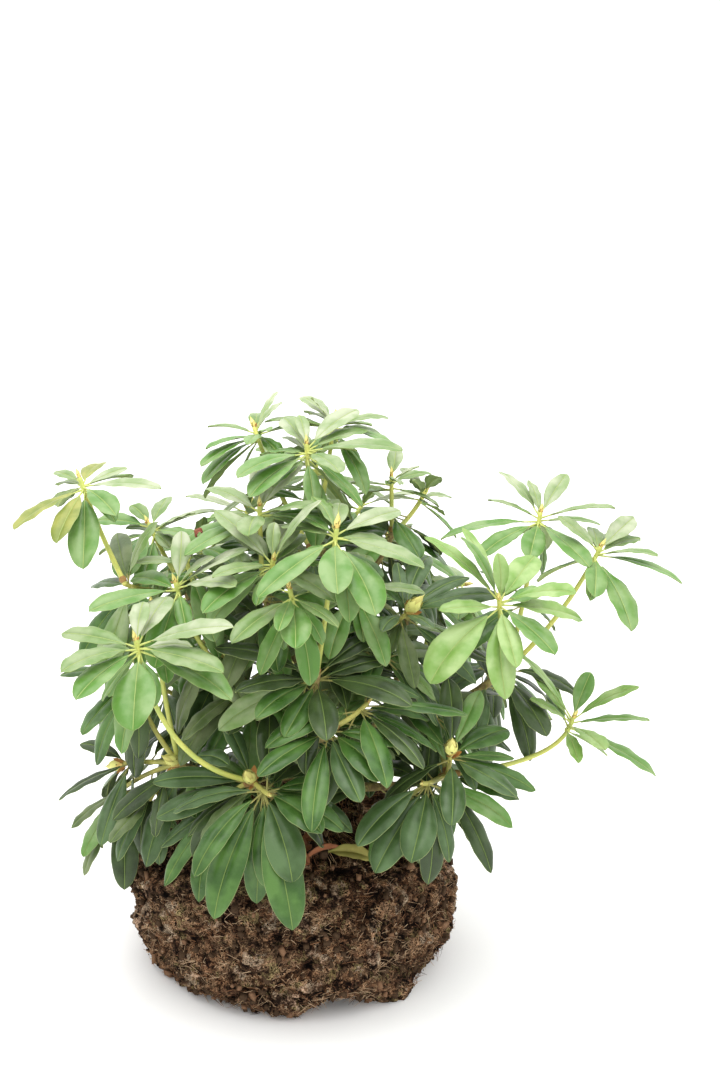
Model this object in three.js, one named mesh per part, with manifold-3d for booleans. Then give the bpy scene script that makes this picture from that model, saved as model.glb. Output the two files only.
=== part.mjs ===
// A young container-grown rhododendron standing on its bare root ball: a short forked trunk, woody boughs,
// and masses of foliage made of leafy shoots that end in rings of leaves. Millimetres and degrees, +Z up,
// the origin at the centre of the ball's flat underside, the shrub's front towards -Y. A turn is a heading
// round the plant, 0 towards +X and 90 towards +Y; a reach is a distance from the plant's upright axis.
import * as THREE from "three";
import Module from "manifold-3d";

// Clearances.
const SEAT = 0.3; // between two pieces that touch
const BREATH = 1.2; // left round a leaf when its place is tested

// The root ball: half-widths from its flat foot to its crown, and how rough its side is.
const BALL_PROFILE = [
  [0, 160],
  [16, 176],
  [48, 187],
  [86, 189],
  [120, 186],
  [146, 172],
  [164, 138],
  [172, 70],
];
const BALL_TOP = 172;
const BALL_SIDES = 32;
const BALL_BROAD = 2.7; // its broad lumps and hollows
const BALL_FINE = 2.1; // and the fine ones
const BALL_SKIN = 3; // how far leaves keep off it
const BALL_SLUMP = { from: 64, amount: 21 }; // the crown of the ball sits over to the left
// A clod is gone from its lower edge, and the next one stands out.
const BALL_BITE = { turn: 291, spread: 18, deep: 34, high: 26, lipAt: 26, lip: 14 };
const BALL_FACET_CENTRE = [14, 9]; // where the flat underside's facets meet

// The trunk, from its flared foot on the ball to the lowest forks.
const TRUNK = { lean: [4, -3], top: 244, flare: 20, neck: 13.5, head: 11, neckAt: 0.22 };

// Wood and shoots.
const LIMB_SIDES = 5;
const LIMB_STEPS = 3;
const SHOOT_SIDES = 3;
const SHOOT_STEPS = 3;
const SHOOT_THICK = [3.2, 2.6];
const NODE_STEM = 16; // the last stretch of each limb, which belongs to the foliage

// A leaf: a root sunk in its shoot, three sections as [share of its length, share of its half-width], and
// a tip.
const LEAF_SECTIONS = [
  [0.17, 0.2],
  [0.4, 1],
  [0.8, 0.82],
];
const LEAF_THICK = 0.018; // of its length, at the midrib
const LEAF_RIB = 0.6; // the share of its thickness below the edge, where the midrib stands out
// How its droop grows along it, at once and with the distance from its root, and the share of the droop by
// which its root is steeper than its chord.
const LEAF_BEND = [0.4, 1.2, 0.6];
const LEAF_ROOT = 0.3; // its root starts just past the middle of its shoot

// A ring: its leaves stand on the top of its shoot, each a share of the depth from the last, and differ a
// little.
const RING_TOP = 1.5;
const RING_DEPTH = 14;
const LIGHT = { front: 0.2, out: 0.24, reach: 150 }; // how far the rings lean to the front and outwards
const FACING = 0.75; // how far a leaf turns its face to its ring's light
const GOLDEN = 0.382; // the share of a ring's depth from one leaf to the next
const LENGTHS = [0.8, 0.16]; // the length of its highest leaf, and how much more the lowest one has
const SCATTER = { turn: 24, lift: 20, roll: 30, droop: 0.8, wide: 0.3, long: 0.12 };
const ALONG = 0.3; // how far a ring leans along its shoot

// Where a leaf goes when another is in its way: swung round, raised, and shortened.
const TRIES = [
  [0, 0, 1],
  [6, 5, 1],
  [-6, -5, 0.97],
  [12, 9, 0.95],
  [-12, 8, 0.95],
  [0, 16, 0.9],
  [16, -10, 0.9],
  [-16, -12, 0.9],
  [8, 24, 0.86],
  [-8, -20, 0.86],
];

// A bud: how plump it is, as a share of its length, for a flower bud and for a small leaf bud, and its
// sections as [share of its length, share of its half-width].
const BUD_PLUMP = { flower: 0.25, leaf: 0.2, flowerFrom: 18 };
const BUD_SECTIONS = [
  [-0.12, 0.42],
  [0.3, 1],
  [0.62, 0.86],
];
const SEED = 7919;

// The two ages of ring: leaves, the longest leaf, its width as a share of its length, the mean lift of the
// leaves' chords, how far the lifts spread from the lowest leaf to the highest, their droop, and the bud.
const YOUNG = { leaves: 9, long: 92, wide: 0.34, lift: -11, spread: 74, droop: 16, bud: 11 };
const OLD = { leaves: 9, long: 112, wide: 0.285, lift: -31, spread: 56, droop: 20, bud: 0 };

// Limbs: parent, share of the parent's length where it leaves, the fork it reaches (turn, reach, height),
// how far it runs outwards before it rises (0 straight, 1 square), and its thickness at root and fork.
const LIMBS = {
  left_middle: { from: "trunk", at: 0.83, fork: [233, 100, 359], arch: 0.2, thick: [5.2, 4] },
  left_high: { from: "left_middle", at: 0.55, fork: [189, 135, 447], arch: 0.1, thick: [4.4, 3.3] },
  front_left: { from: "trunk", at: 0.45, fork: [256, 178, 284], arch: 0.35, thick: [5.5, 3.8] },
  left_low: { from: "trunk", at: 0.62, fork: [222, 172, 276], arch: 0.3, thick: [5.2, 3.6] },
  front: { from: "trunk", at: 0.74, fork: [278, 155, 398], arch: 0.25, thick: [5.2, 4] },
  centre_left: { from: "top", at: 0.4, fork: [243, 92, 462], arch: 0.1, thick: [4.4, 3.4] },
  top: { from: "trunk", at: 1, fork: [291, 26, 498], arch: 0, thick: [6, 4] },
  right_crown: { from: "top", at: 0.55, fork: [22, 107, 504], arch: 0.3, thick: [4.2, 3.4] },
  centre_right: { from: "top", at: 0.28, fork: [325, 92, 412], arch: 0.3, thick: [4.2, 3.3] },
  front_low: { from: "front", at: 0.5, fork: [281, 199, 354], arch: 0.3, thick: [4, 3.2] },
  right_high: { from: "trunk", at: 0.85, fork: [352, 238, 371], arch: 0.25, thick: [6.2, 4] },
  right_low: { from: "trunk", at: 0.5, fork: [327, 200, 272], arch: 0.35, thick: [5.6, 3.6] },
  back_left_high: { from: "top", at: 0.2, fork: [142, 120, 440], arch: 0.3, thick: [4.6, 3.4] },
  back_left_low: { from: "trunk", at: 0.6, fork: [145, 165, 270], arch: 0.35, thick: [5.2, 3.5] },
  back: { from: "top", at: 0.48, fork: [80, 105, 470], arch: 0.2, thick: [4.2, 3.3] },
  back_low: { from: "trunk", at: 0.42, fork: [95, 175, 278], arch: 0.35, thick: [5.2, 3.5] },
  back_right_high: { from: "right_high", at: 0.36, fork: [42, 170, 420], arch: 0.1, thick: [4.2, 3.3] },
  back_right_low: { from: "trunk", at: 0.7, fork: [42, 190, 285], arch: 0.35, thick: [5.2, 3.5] },
};

// Foliage masses, one at each limb's fork, where a ring of old leaves stands. Each entry of "shoots" is a
// shoot that ends in a ring: its tip (turn, reach, height), its arch, the shoot it grows from if not the
// fork, and what its ring has of its own. "first" is the turn of the ring's lowest leaf. The leaves in
// "set" go their own way: turn, lift of the chord, length, and width where it isn't the ring's.
const MASSES = {
  front_left: {
    fork: { leaves: 6, first: 286, long: 120, lift: -14, bud: 26, seed: 3, set: [
      [230, -30, 104, 0.3], [213, -27, 92, 0.2], [196, -16, 109, 0.32], [351, 41, 82, 0.3],
    ] },
    shoots: [
      { tip: [236, 278, 454], arch: 0.62, first: 262, long: 96, lift: -18, seed: 14, leaves: 1, spread: 56,
        set: [
          [274, -32, 96, 0.48], [328, -21, 112, 0.34], [145, -19, 84], [240, -14, 98], [220, -7, 92],
          [330, -2, 104, 0.34], [162, 2, 86], [351, 16, 102], [78, 16, 92, 0.36],
        ] },
      { tip: [264, 216, 288], arch: 0.3, age: OLD, leaves: 2, first: 254, long: 126, lift: -17, bud: 9, seed: 4,
        set: [
          [299, -58, 145, 0.3], [313, -55, 106, 0.42], [237, -55, 139, 0.28], [228, -34, 116, 0.24],
          [25, -20, 84, 0.34], [319, -13, 84, 0.42], [20, -1, 88, 0.26],
        ] },
    ],
  },
  left_middle: {
    fork: { leaves: 4, first: 208, long: 120, lift: -6, seed: 5, set: [
      [228, -20, 100, 0.26], [255, -20, 84, 0.34],
    ] },
    shoots: [
      { tip: [225, 183, 485], arch: 0.42, leaves: 4, first: 166, long: 98, lift: -12, seed: 6, set: [
        [146, -12, 90], [217, -4, 104], [321, 13, 88], [84, 21, 80],
      ] },
      { tip: [217, 154, 500], arch: 0.2, leaves: 7, first: 337, long: 98, lift: -29, seed: 7 },
      { tip: [222, 128, 408], arch: 0.3, age: OLD, leaves: 7, first: 250, long: 116, lift: -30, seed: 7 },
    ],
  },
  left_high: {
    fork: { leaves: 7, first: 272, long: 118, lift: -22, seed: 6 },
    shoots: [
      { tip: [174, 180, 510], arch: 0.1, first: 268, lift: -3, long: 94, seed: 3, leaves: 3, spread: 50,
        set: [
          [155, -26, 84], [255, -21, 92, 0.44], [310, -16, 40, 0.5], [327, 0, 72, 0.4], [80, 18, 70],
        ] },
      { tip: [208, 213, 473], arch: 0.3, age: OLD, leaves: 5, first: 187, long: 120, lift: -15, seed: 7 },
      { tip: [194, 249, 578], arch: 0.1, from: 1, leaves: 2, first: 290, lift: -19, long: 94, seed: 5, spread: 40,
        set: [
          [279, -39, 104, 0.36], [259, -28, 88], [236, -28, 98], [306, -11, 80, 0.36], [125, -10, 70],
          [341, -7, 92], [60, -4, 84], [83, 6, 76],
        ] },
    ],
  },
  left_low: {
    fork: { first: 185, long: 120, bud: 24, lift: -10, seed: 11, leaves: 6, set: [
      [228, -32, 98, 0.28], [199, -17, 110, 0.28], [186, 12, 105, 0.3],
    ] },
    shoots: [
      { tip: [214, 190, 452], arch: 0.2, first: 220, lift: -9, long: 98, seed: 3, leaves: 8, spread: 56 },
      { tip: [206, 205, 372], arch: 0.3, age: OLD, leaves: 4, first: 267, long: 120, lift: -49, seed: 21,
        set: [
          [242, -21, 96, 0.3], [163, -6, 90, 0.26],
        ] },
      { tip: [203, 210, 258], arch: 0.3, age: OLD, leaves: 5, first: 186, long: 118, bud: 24, lift: -36, seed: 14,
        set: [
          [203, -22, 89, 0.28], [151, 6, 70, 0.3],
        ] },
      { tip: [197, 214, 212], arch: 0.2, age: OLD, first: 212, long: 114, bud: 8, lift: -43, seed: 10, leaves: 5,
        set: [
          [234, -53, 105, 0.24], [226, -49, 94, 0.3], [208, -31, 71, 0.3], [262, -26, 80, 0.24],
        ] },
    ],
  },
  front: {
    fork: { leaves: 4, first: 268, long: 116, lift: -10, seed: 3, set: [
      [248, -25, 84, 0.34], [274, -25, 92, 0.36], [236, -22, 114, 0.28], [30, -6, 104, 0.26],
      [330, -2, 116, 0.34], [213, -1, 104, 0.3], [171, 12, 114, 0.26], [38, 19, 104, 0.26],
    ] },
    shoots: [
      { tip: [285, 145, 552], arch: 0.1, first: 278, lift: -9, long: 98, bud: 16, seed: 3, leaves: 2, spread: 56,
        set: [
          [300, -32, 104, 0.4], [274, -23, 88, 0.42], [224, -23, 112, 0.3], [333, -9, 104, 0.34],
          [137, -3, 80], [128, 5, 60], [39, 10, 88], [88, 17, 64, 0.36],
        ] },
      { tip: [267, 160, 492], arch: 0.2, leaves: 4, first: 314, lift: -30, long: 98, seed: 7, set: [
        [276, -20, 82, 0.42], [233, -16, 96, 0.3], [304, -13, 78, 0.24], [263, -10, 76, 0.26],
      ] },
    ],
  },
  centre_left: {
    fork: { leaves: 8, first: 230, long: 112, lift: -5, seed: 8 },
    shoots: [
      { tip: [258, 132, 514], arch: 0.3, first: 226, long: 98, lift: 6, seed: 5, leaves: 5, set: [
        [228, -18, 102, 0.32], [224, 0, 80, 0.28], [114, 5, 76, 0.4], [71, 13, 80, 0.44],
      ] },
      { tip: [236, 84, 556], arch: 0.1, leaves: 4, first: 255, long: 98, lift: -3, seed: 4, set: [
        [144, -29, 94], [216, -19, 98], [266, -3, 78, 0.4], [326, 3, 92], [143, 10, 80, 0.36],
        [41, 23, 88],
      ] },
    ],
  },
  top: {
    fork: { leaves: 8, first: 231, long: 120, lift: -6, seed: 12 },
    shoots: [
      { tip: [270, 22, 616], arch: 0, leaves: 2, first: 274, long: 100, lift: -13, seed: 12, spread: 66,
        set: [
          [36, -51, 100, 0.3], [325, -30, 88, 0.24], [230, -21, 96], [134, -12, 80], [221, -10, 96],
          [297, -4, 84, 0.38], [347, 5, 108], [34, 11, 84], [114, 17, 76, 0.38], [50, 22, 92],
        ] },
      { tip: [65, 66, 629], arch: 0.2, first: 300, lift: -13, long: 84, bud: 14, seed: 12, leaves: 4, spread: 50,
        set: [
          [332, -7, 78], [153, -2, 92], [33, 4, 76], [323, 9, 56, 0.36], [132, 22, 64, 0.46],
        ] },
      { tip: [126, 112, 612], arch: 0.2, leaves: 2, first: 176, lift: -5, long: 92, bud: 14, seed: 12, spread: 60,
        set: [
          [219, -32, 90, 0.36], [214, -24, 84], [204, -17, 74], [253, -9, 66], [286, -7, 68, 0.36],
          [156, 1, 66], [108, 26, 56, 0.4], [72, 28, 78, 0.14],
        ] },
    ],
  },
  right_crown: {
    fork: { leaves: 9, first: 310, long: 116, lift: -31, seed: 9, spread: 70 },
    shoots: [
      { tip: [32, 113, 566], arch: 0.1, leaves: 6, first: 150, lift: 5, long: 62, seed: 4, spread: 40 },
      { tip: [27, 154, 549], arch: 0.25, leaves: 6, first: 354, lift: 7, long: 62, seed: 4, spread: 50 },
    ],
  },
  centre_right: {
    fork: { first: 309, long: 118, lift: -22, seed: 1 },
    shoots: [
      { tip: [323, 146, 450], arch: 0.3, age: OLD, first: 258, lift: -19, long: 116, bud: 28, seed: 5, leaves: 4,
        set: [
          [246, -2, 60, 0.3], [65, 9, 80, 0.36], [301, 9, 70, 0.3], [355, 15, 106, 0.36],
          [34, 19, 92, 0.24],
        ] },
      { tip: [300, 108, 478], arch: 0.1, first: 268, long: 92, lift: -20, seed: 4 },
      { tip: [310, 150, 400], arch: 0.4, age: OLD, first: 229, long: 104, lift: -31, seed: 4, leaves: 8 },
    ],
  },
  front_low: {
    fork: { first: 174, long: 114, lift: -5, seed: 4, leaves: 4, set: [
      [30, -31, 70, 0.3], [311, -16, 90, 0.4], [224, -14, 98, 0.28], [330, 6, 96, 0.3],
      [56, 13, 66, 0.3],
    ] },
    shoots: [{ tip: [294, 186, 374], arch: 0.3, age: OLD, first: 248, long: 118, lift: -7, bud: 8, seed: 6, leaves: 7,
      set: [
        [316, -21, 100, 0.28], [29, -16, 90, 0.3],
      ] }],
  },
  right_high: {
    fork: { first: 269, lift: -19, long: 118, seed: 8, leaves: 9, set: [
      [301, -26, 100, 0.4],
    ] },
    shoots: [
      { tip: [4, 266, 539], arch: 0.1, first: 270, long: 102, lift: -21, seed: 11, leaves: 2, spread: 72,
        set: [
          [311, -23, 108, 0.34], [217, -19, 94, 0.3], [263, -15, 80, 0.38], [190, -10, 116, 0.24],
          [24, -7, 84, 0.24], [145, 9, 70, 0.2], [341, 14, 88, 0.28], [128, 28, 82, 0.3],
          [57, 31, 74, 0.32],
        ] },
      { tip: [328, 247, 480], arch: 0.2, leaves: 3, first: 264, long: 104, lift: 3, seed: 11, spread: 56,
        set: [
          [217, -37, 114, 0.42], [280, -28, 88, 0.3], [301, -23, 92, 0.36], [70, 5, 86, 0.34],
          [328, 17, 90, 0.36], [60, 20, 92, 0.38], [153, 32, 106, 0.2], [116, 36, 96, 0.18],
        ] },
      { tip: [353, 329, 516], arch: 0.2, first: 324, lift: -9, long: 104, seed: 1, leaves: 0, spread: 50,
        set: [
          [291, -33, 106, 0.34], [146, -31, 80, 0.36], [257, -25, 76, 0.36], [325, -7, 104, 0.28],
          [322, -6, 84, 0.32], [38, 6, 70, 0.28], [90, 15, 56, 0.36], [115, 17, 64, 0.26],
          [48, 22, 74, 0.36],
        ] },
    ],
  },
  right_low: {
    fork: { first: 262, lift: -11, long: 118, seed: 4, leaves: 7, set: [
      [52, -77, 92, 0.28], [316, -46, 110, 0.3],
    ] },
    shoots: [
      { tip: [347, 313, 327], arch: 0.9, leaves: 0, first: 354, long: 96, lift: -5, seed: 7, spread: 44,
        set: [
          [339, -21, 111, 0.24], [301, -5, 66, 0.46], [351, 8, 89, 0.22], [121, 26, 88, 0.32],
          [1, 30, 85, 0.26], [60, 41, 64, 0.36], [176, 49, 96, 0.26],
        ] },
      { tip: [330, 172, 345], arch: 0.2, age: OLD, leaves: 7, first: 314, long: 112, lift: -23, seed: 1 },
      { tip: [316, 230, 318], arch: 0.3, age: OLD, leaves: 3, first: 255, long: 106, bud: 26, lift: -21, seed: 4,
        set: [
          [270, -30, 86, 0.34], [27, -25, 84, 0.3], [314, -8, 96, 0.34], [43, 5, 92, 0.38],
          [123, 21, 92, 0.36], [60, 38, 84, 0.3], [93, 46, 88, 0.3],
        ] },
      { tip: [308, 222, 288], arch: 0.3, age: OLD, first: 280, long: 112, lift: -24, bud: 8, seed: 5, leaves: 5,
        set: [
          [229, -43, 112, 0.36], [251, -42, 94, 0.42], [133, -33, 70, 0.34],
        ] },
    ],
  },
  back_left_high: {
    fork: { leaves: 6, first: 174, long: 118, lift: -39, seed: 2 },
    shoots: [
      { tip: [155, 140, 478], arch: 0.2, first: 99, long: 98, lift: 6, seed: 2, leaves: 7 },
      { tip: [120, 150, 505], arch: 0.2, first: 70, bud: 20, long: 86, lift: -3, seed: 3, leaves: 7 },
    ],
  },
  back_left_low: {
    fork: { first: 168, long: 114, lift: -39, seed: 2, leaves: 6 },
    shoots: [
      { tip: [162, 215, 330], arch: 0.4, age: OLD, first: 170, long: 104, bud: 22, lift: -31, seed: 2, leaves: 6 },
      { tip: [132, 225, 390], arch: 0.5, first: 128, long: 98, lift: -11, seed: 2, leaves: 7 },
    ],
  },
  back: {
    fork: { first: 80, long: 118, lift: -22, seed: 7, leaves: 5 },
    shoots: [
      { tip: [88, 150, 562], arch: 0.2, first: 43, long: 98, lift: -3, seed: 4, leaves: 7 },
      { tip: [72, 205, 500], arch: 0.4, first: 102, long: 92, lift: -3, seed: 2, leaves: 7 },
    ],
  },
  back_low: {
    fork: { first: 85, bud: 24, long: 112, lift: -39, seed: 2, leaves: 6 },
    shoots: [
      { tip: [103, 255, 415], arch: 0.5, first: 105, long: 92, lift: -11, seed: 5, leaves: 7 },
      { tip: [84, 240, 285], arch: 0.3, age: OLD, first: 80, long: 114, bud: 8, lift: -31, leaves: 6 },
    ],
  },
  back_right_high: {
    fork: { leaves: 5, first: 60, long: 118, lift: -22, seed: 2 },
    shoots: [
      { tip: [58, 180, 470], arch: 0.2, first: 28, long: 92, lift: -11, seed: 10, leaves: 7 },
      { tip: [30, 220, 425], arch: 0.3, first: 6, long: 98, lift: -37, seed: 14, leaves: 7 },
    ],
  },
  back_right_low: {
    fork: { first: 96, long: 120, lift: -23, leaves: 6, seed: 2 },
    shoots: [
      { tip: [50, 240, 385], arch: 0.5, first: 55, long: 98, lift: -28, seed: 2, leaves: 7 },
      { tip: [24, 250, 330], arch: 0.4, age: OLD, first: 7, long: 104, bud: 22, lift: -39, seed: 1, leaves: 7 },
    ],
  },
};

const COLOURS = {
  soil: 0x3d2c20,
  wood: 0x6f6142,
  leaf: 0x5c8a47,
};

const wasm = await Module();
wasm.setup();

const UP = new THREE.Vector3(0, 0, 1);
const radians = THREE.MathUtils.degToRad;

// A repeatable run of numbers from 0 to 1.
function dice(seed) {
  let state = seed;
  return () => {
    state = (state * 16807) % 2147483647;
    return state / 2147483647;
  };
}

function place([turn, reach, height]) {
  const t = radians(turn);
  return new THREE.Vector3(reach * Math.cos(t), reach * Math.sin(t), height);
}

// The curve of a limb or shoot: a bend in the upright plane through both ends.
function bend(start, end, arch) {
  const across = (1 + arch) / 2;
  const rise = (1 - arch) / 2;
  const knee = new THREE.Vector3(
    start.x + (end.x - start.x) * across,
    start.y + (end.y - start.y) * across,
    start.z + (end.z - start.z) * rise,
  );
  return new THREE.QuadraticBezierCurve3(start, knee, end);
}

function tangent(curve, t) {
  const a = curve.v1.clone().sub(curve.v0).multiplyScalar(2 * (1 - t));
  return a.addScaledVector(curve.v2.clone().sub(curve.v1), 2 * t).normalize();
}

// A closed body through a row of rings of points. A ring of one point closes its end to a tip.
function loft(rings) {
  const starts = [];
  const points = [];
  for (const ring of rings) {
    starts.push(points.length);
    points.push(...ring);
  }
  const faces = [];
  for (let k = 1; k < rings.length; k += 1) {
    const [low, high] = [starts[k - 1], starts[k]];
    const n = Math.max(rings[k - 1].length, rings[k].length);
    for (let i = 0; i < n; i += 1) {
      const j = (i + 1) % n;
      if (rings[k].length === 1) faces.push([low + i, low + j, high]);
      else if (rings[k - 1].length === 1) faces.push([low, high + j, high + i]);
      else faces.push([low + i, low + j, high + j], [low + i, high + j, high + i]);
    }
  }
  const last = starts.at(-1);
  for (let i = 1; i < rings[0].length - 1; i += 1) faces.push([0, i + 1, i]);
  for (let i = 1; i < rings.at(-1).length - 1; i += 1) faces.push([last, last + i, last + i + 1]);
  return { points, faces };
}

// Rings round a curve from t0 to t1, tapering from one thickness to the other.
function tubeRings(curve, t0, t1, thick, sides, steps, power = 1) {
  const flat = curve.v2.clone().sub(curve.v0).setZ(0);
  const side = flat.length() < 1e-6 ? new THREE.Vector3(0, 1, 0) : new THREE.Vector3(-flat.y, flat.x, 0).normalize();
  const rings = [];
  for (let k = 0; k <= steps; k += 1) {
    const t = t0 + ((t1 - t0) * k) / steps;
    const p = curve.getPoint(t);
    const other = side.clone().cross(tangent(curve, t)).negate().normalize();
    const r = thick[0] + (thick[1] - thick[0]) * (k / steps) ** power;
    const ring = [];
    for (let i = 0; i < sides; i += 1) {
      const a = (2 * Math.PI * i) / sides;
      ring.push(p.clone().addScaledVector(side, r * Math.cos(a)).addScaledVector(other, -r * Math.sin(a)));
    }
    rings.push(ring);
  }
  return rings;
}

function grown(rings, margin) {
  return rings.map((ring) => {
    const centre = ring.reduce((sum, p) => sum.add(p), new THREE.Vector3()).divideScalar(ring.length);
    return ring.map((p) => {
      const out = p.clone().sub(centre);
      return centre.clone().addScaledVector(out, 1 + margin / Math.max(out.length(), 1e-6));
    });
  });
}

// A closed body as a solid, its faces turned to point out.
function solid({ points, faces }) {
  const six = faces.reduce((sum, [a, b, c]) => sum + points[a].dot(points[b].clone().cross(points[c])), 0);
  const outward = six > 0 ? faces : faces.map(([a, b, c]) => [a, c, b]);
  return new wasm.Manifold(
    new wasm.Mesh({
      numProp: 3,
      vertProperties: new Float32Array(points.flatMap((p) => [p.x, p.y, p.z])),
      triVerts: new Uint32Array(outward.flat()),
    }),
  );
}

// The test that keeps leaves apart: does an edge of one body pass through a face of the other?
function outline(body) {
  const seen = new Set();
  const edges = [];
  for (const face of body.faces) {
    for (let i = 0; i < 3; i += 1) {
      const a = Math.min(face[i], face[(i + 1) % 3]);
      const b = Math.max(face[i], face[(i + 1) % 3]);
      const key = a * 4096 + b;
      if (!seen.has(key)) {
        seen.add(key);
        edges.push([a, b]);
      }
    }
  }
  const box = new THREE.Box3().setFromPoints(body.points);
  return { ...body, edges, box };
}

function edgeHits(a, b) {
  for (const [i, j] of a.edges) {
    const start = a.points[i];
    const dx = a.points[j].x - start.x;
    const dy = a.points[j].y - start.y;
    const dz = a.points[j].z - start.z;
    for (const [f0, f1, f2] of b.faces) {
      const p = b.points[f0];
      const e1x = b.points[f1].x - p.x;
      const e1y = b.points[f1].y - p.y;
      const e1z = b.points[f1].z - p.z;
      const e2x = b.points[f2].x - p.x;
      const e2y = b.points[f2].y - p.y;
      const e2z = b.points[f2].z - p.z;
      const hx = dy * e2z - dz * e2y;
      const hy = dz * e2x - dx * e2z;
      const hz = dx * e2y - dy * e2x;
      const det = e1x * hx + e1y * hy + e1z * hz;
      if (Math.abs(det) < 1e-9) continue;
      const sx = start.x - p.x;
      const sy = start.y - p.y;
      const sz = start.z - p.z;
      const u = (sx * hx + sy * hy + sz * hz) / det;
      if (u < 0 || u > 1) continue;
      const qx = sy * e1z - sz * e1y;
      const qy = sz * e1x - sx * e1z;
      const qz = sx * e1y - sy * e1x;
      const v = (dx * qx + dy * qy + dz * qz) / det;
      if (v < 0 || u + v > 1) continue;
      const t = (e2x * qx + e2y * qy + e2z * qz) / det;
      if (t >= 0 && t <= 1) return true;
    }
  }
  return false;
}

function touches(a, b) {
  return a.box.intersectsBox(b.box) && (edgeHits(a, b) || edgeHits(b, a));
}

// The root ball.
function ballReach(height) {
  const k = BALL_PROFILE.findIndex(([z]) => z >= height);
  if (k <= 0) return k === 0 ? BALL_PROFILE[0][1] : 0;
  const [z0, r0] = BALL_PROFILE[k - 1];
  const [z1, r1] = BALL_PROFILE[k];
  return r0 + ((r1 - r0) * (height - z0)) / (z1 - z0);
}

function ballLump(turn, height) {
  const a = radians(turn);
  const broad = Math.sin(2 * a + 0.6) + 0.8 * Math.sin(3 * a - 1.1 + height * 0.02);
  const fine = Math.sin(7 * a + height * 0.09) + Math.sin(11 * a - height * 0.13 + 2);
  const off = (((turn - BALL_BITE.turn) % 360) + 540) % 360 - 180;
  const low = Math.max(0, 1 - height / BALL_BITE.high);
  const bite = BALL_BITE.deep * low * Math.max(0, 1 - Math.abs(off) / BALL_BITE.spread);
  const lip = BALL_BITE.lip * low * Math.max(0, 1 - Math.abs(off - BALL_BITE.lipAt) / BALL_BITE.spread);
  const slump = (BALL_SLUMP.amount * Math.max(0, height - BALL_SLUMP.from)) / (BALL_TOP - BALL_SLUMP.from);
  return BALL_BROAD * broad + BALL_FINE * fine - bite + lip - slump * Math.cos(a);
}

function rootBall() {
  const foot = new THREE.Vector3(...BALL_FACET_CENTRE, 0);
  const crown = new THREE.Vector3(0, 0, BALL_TOP);
  const points = [foot];
  const faces = [];
  for (const [height, reach] of BALL_PROFILE) {
    for (let i = 0; i < BALL_SIDES; i += 1) {
      const turn = (360 * i) / BALL_SIDES;
      const rough = height < BALL_TOP ? ballLump(turn, height) : 0;
      points.push(place([turn, reach + rough, height]));
    }
  }
  points.push(crown);
  const last = BALL_PROFILE.length - 1;
  for (let i = 0; i < BALL_SIDES; i += 1) {
    const j = (i + 1) % BALL_SIDES;
    faces.push([0, 1 + j, 1 + i]);
    for (let k = 0; k < last; k += 1) {
      const low = 1 + k * BALL_SIDES;
      const high = low + BALL_SIDES;
      faces.push([low + i, low + j, high + j], [low + i, high + j, high + i]);
    }
    faces.push([1 + last * BALL_SIDES + i, 1 + last * BALL_SIDES + j, points.length - 1]);
  }
  return { points, faces };
}

function insideBall(p) {
  if (p.z > BALL_TOP + 1) return false;
  const turn = (Math.atan2(p.y, p.x) * 180) / Math.PI;
  return p.z < 1 || Math.hypot(p.x, p.y) < ballReach(p.z) + ballLump(turn, p.z) + BALL_SKIN;
}

// The trunk and the limbs, each cut clear of the one it leaves.
function trunkRings() {
  const foot = new THREE.Vector3(0, 0, BALL_TOP + SEAT);
  const head = new THREE.Vector3(TRUNK.lean[0], TRUNK.lean[1], TRUNK.top);
  const curve = new THREE.QuadraticBezierCurve3(foot, foot.clone().lerp(head, 0.5), head);
  const low = tubeRings(curve, 0, TRUNK.neckAt, [TRUNK.flare, TRUNK.neck], 8, 2, 0.6);
  const high = tubeRings(curve, TRUNK.neckAt, 1, [TRUNK.neck, TRUNK.head], 8, 3);
  for (const p of low[0]) p.z = foot.z;
  return { curve, rings: [...low, ...high.slice(1)] };
}

function limbCurves(trunk) {
  const curves = { trunk: trunk.curve };
  const pending = Object.entries(LIMBS);
  while (pending.length) {
    const [name, limb] = pending.shift();
    if (curves[limb.from]) curves[name] = bend(curves[limb.from].getPoint(limb.at), place(limb.fork), limb.arch);
    else pending.push([name, limb]);
  }
  return curves;
}

function nodeShare(curve) {
  return 1 - NODE_STEM / curve.getLength();
}

function limbParts(name, curves) {
  const curve = curves[name];
  const { thick } = LIMBS[name];
  const share = nodeShare(curve);
  const gap = SEAT / curve.getLength();
  const atNode = thick[0] + (thick[1] - thick[0]) * share;
  return {
    wood: tubeRings(curve, 0, share - gap / 2, [thick[0], atNode], LIMB_SIDES, LIMB_STEPS),
    stem: tubeRings(curve, share + gap / 2, 1, [atNode, thick[1]], LIMB_SIDES, 2),
  };
}

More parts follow.
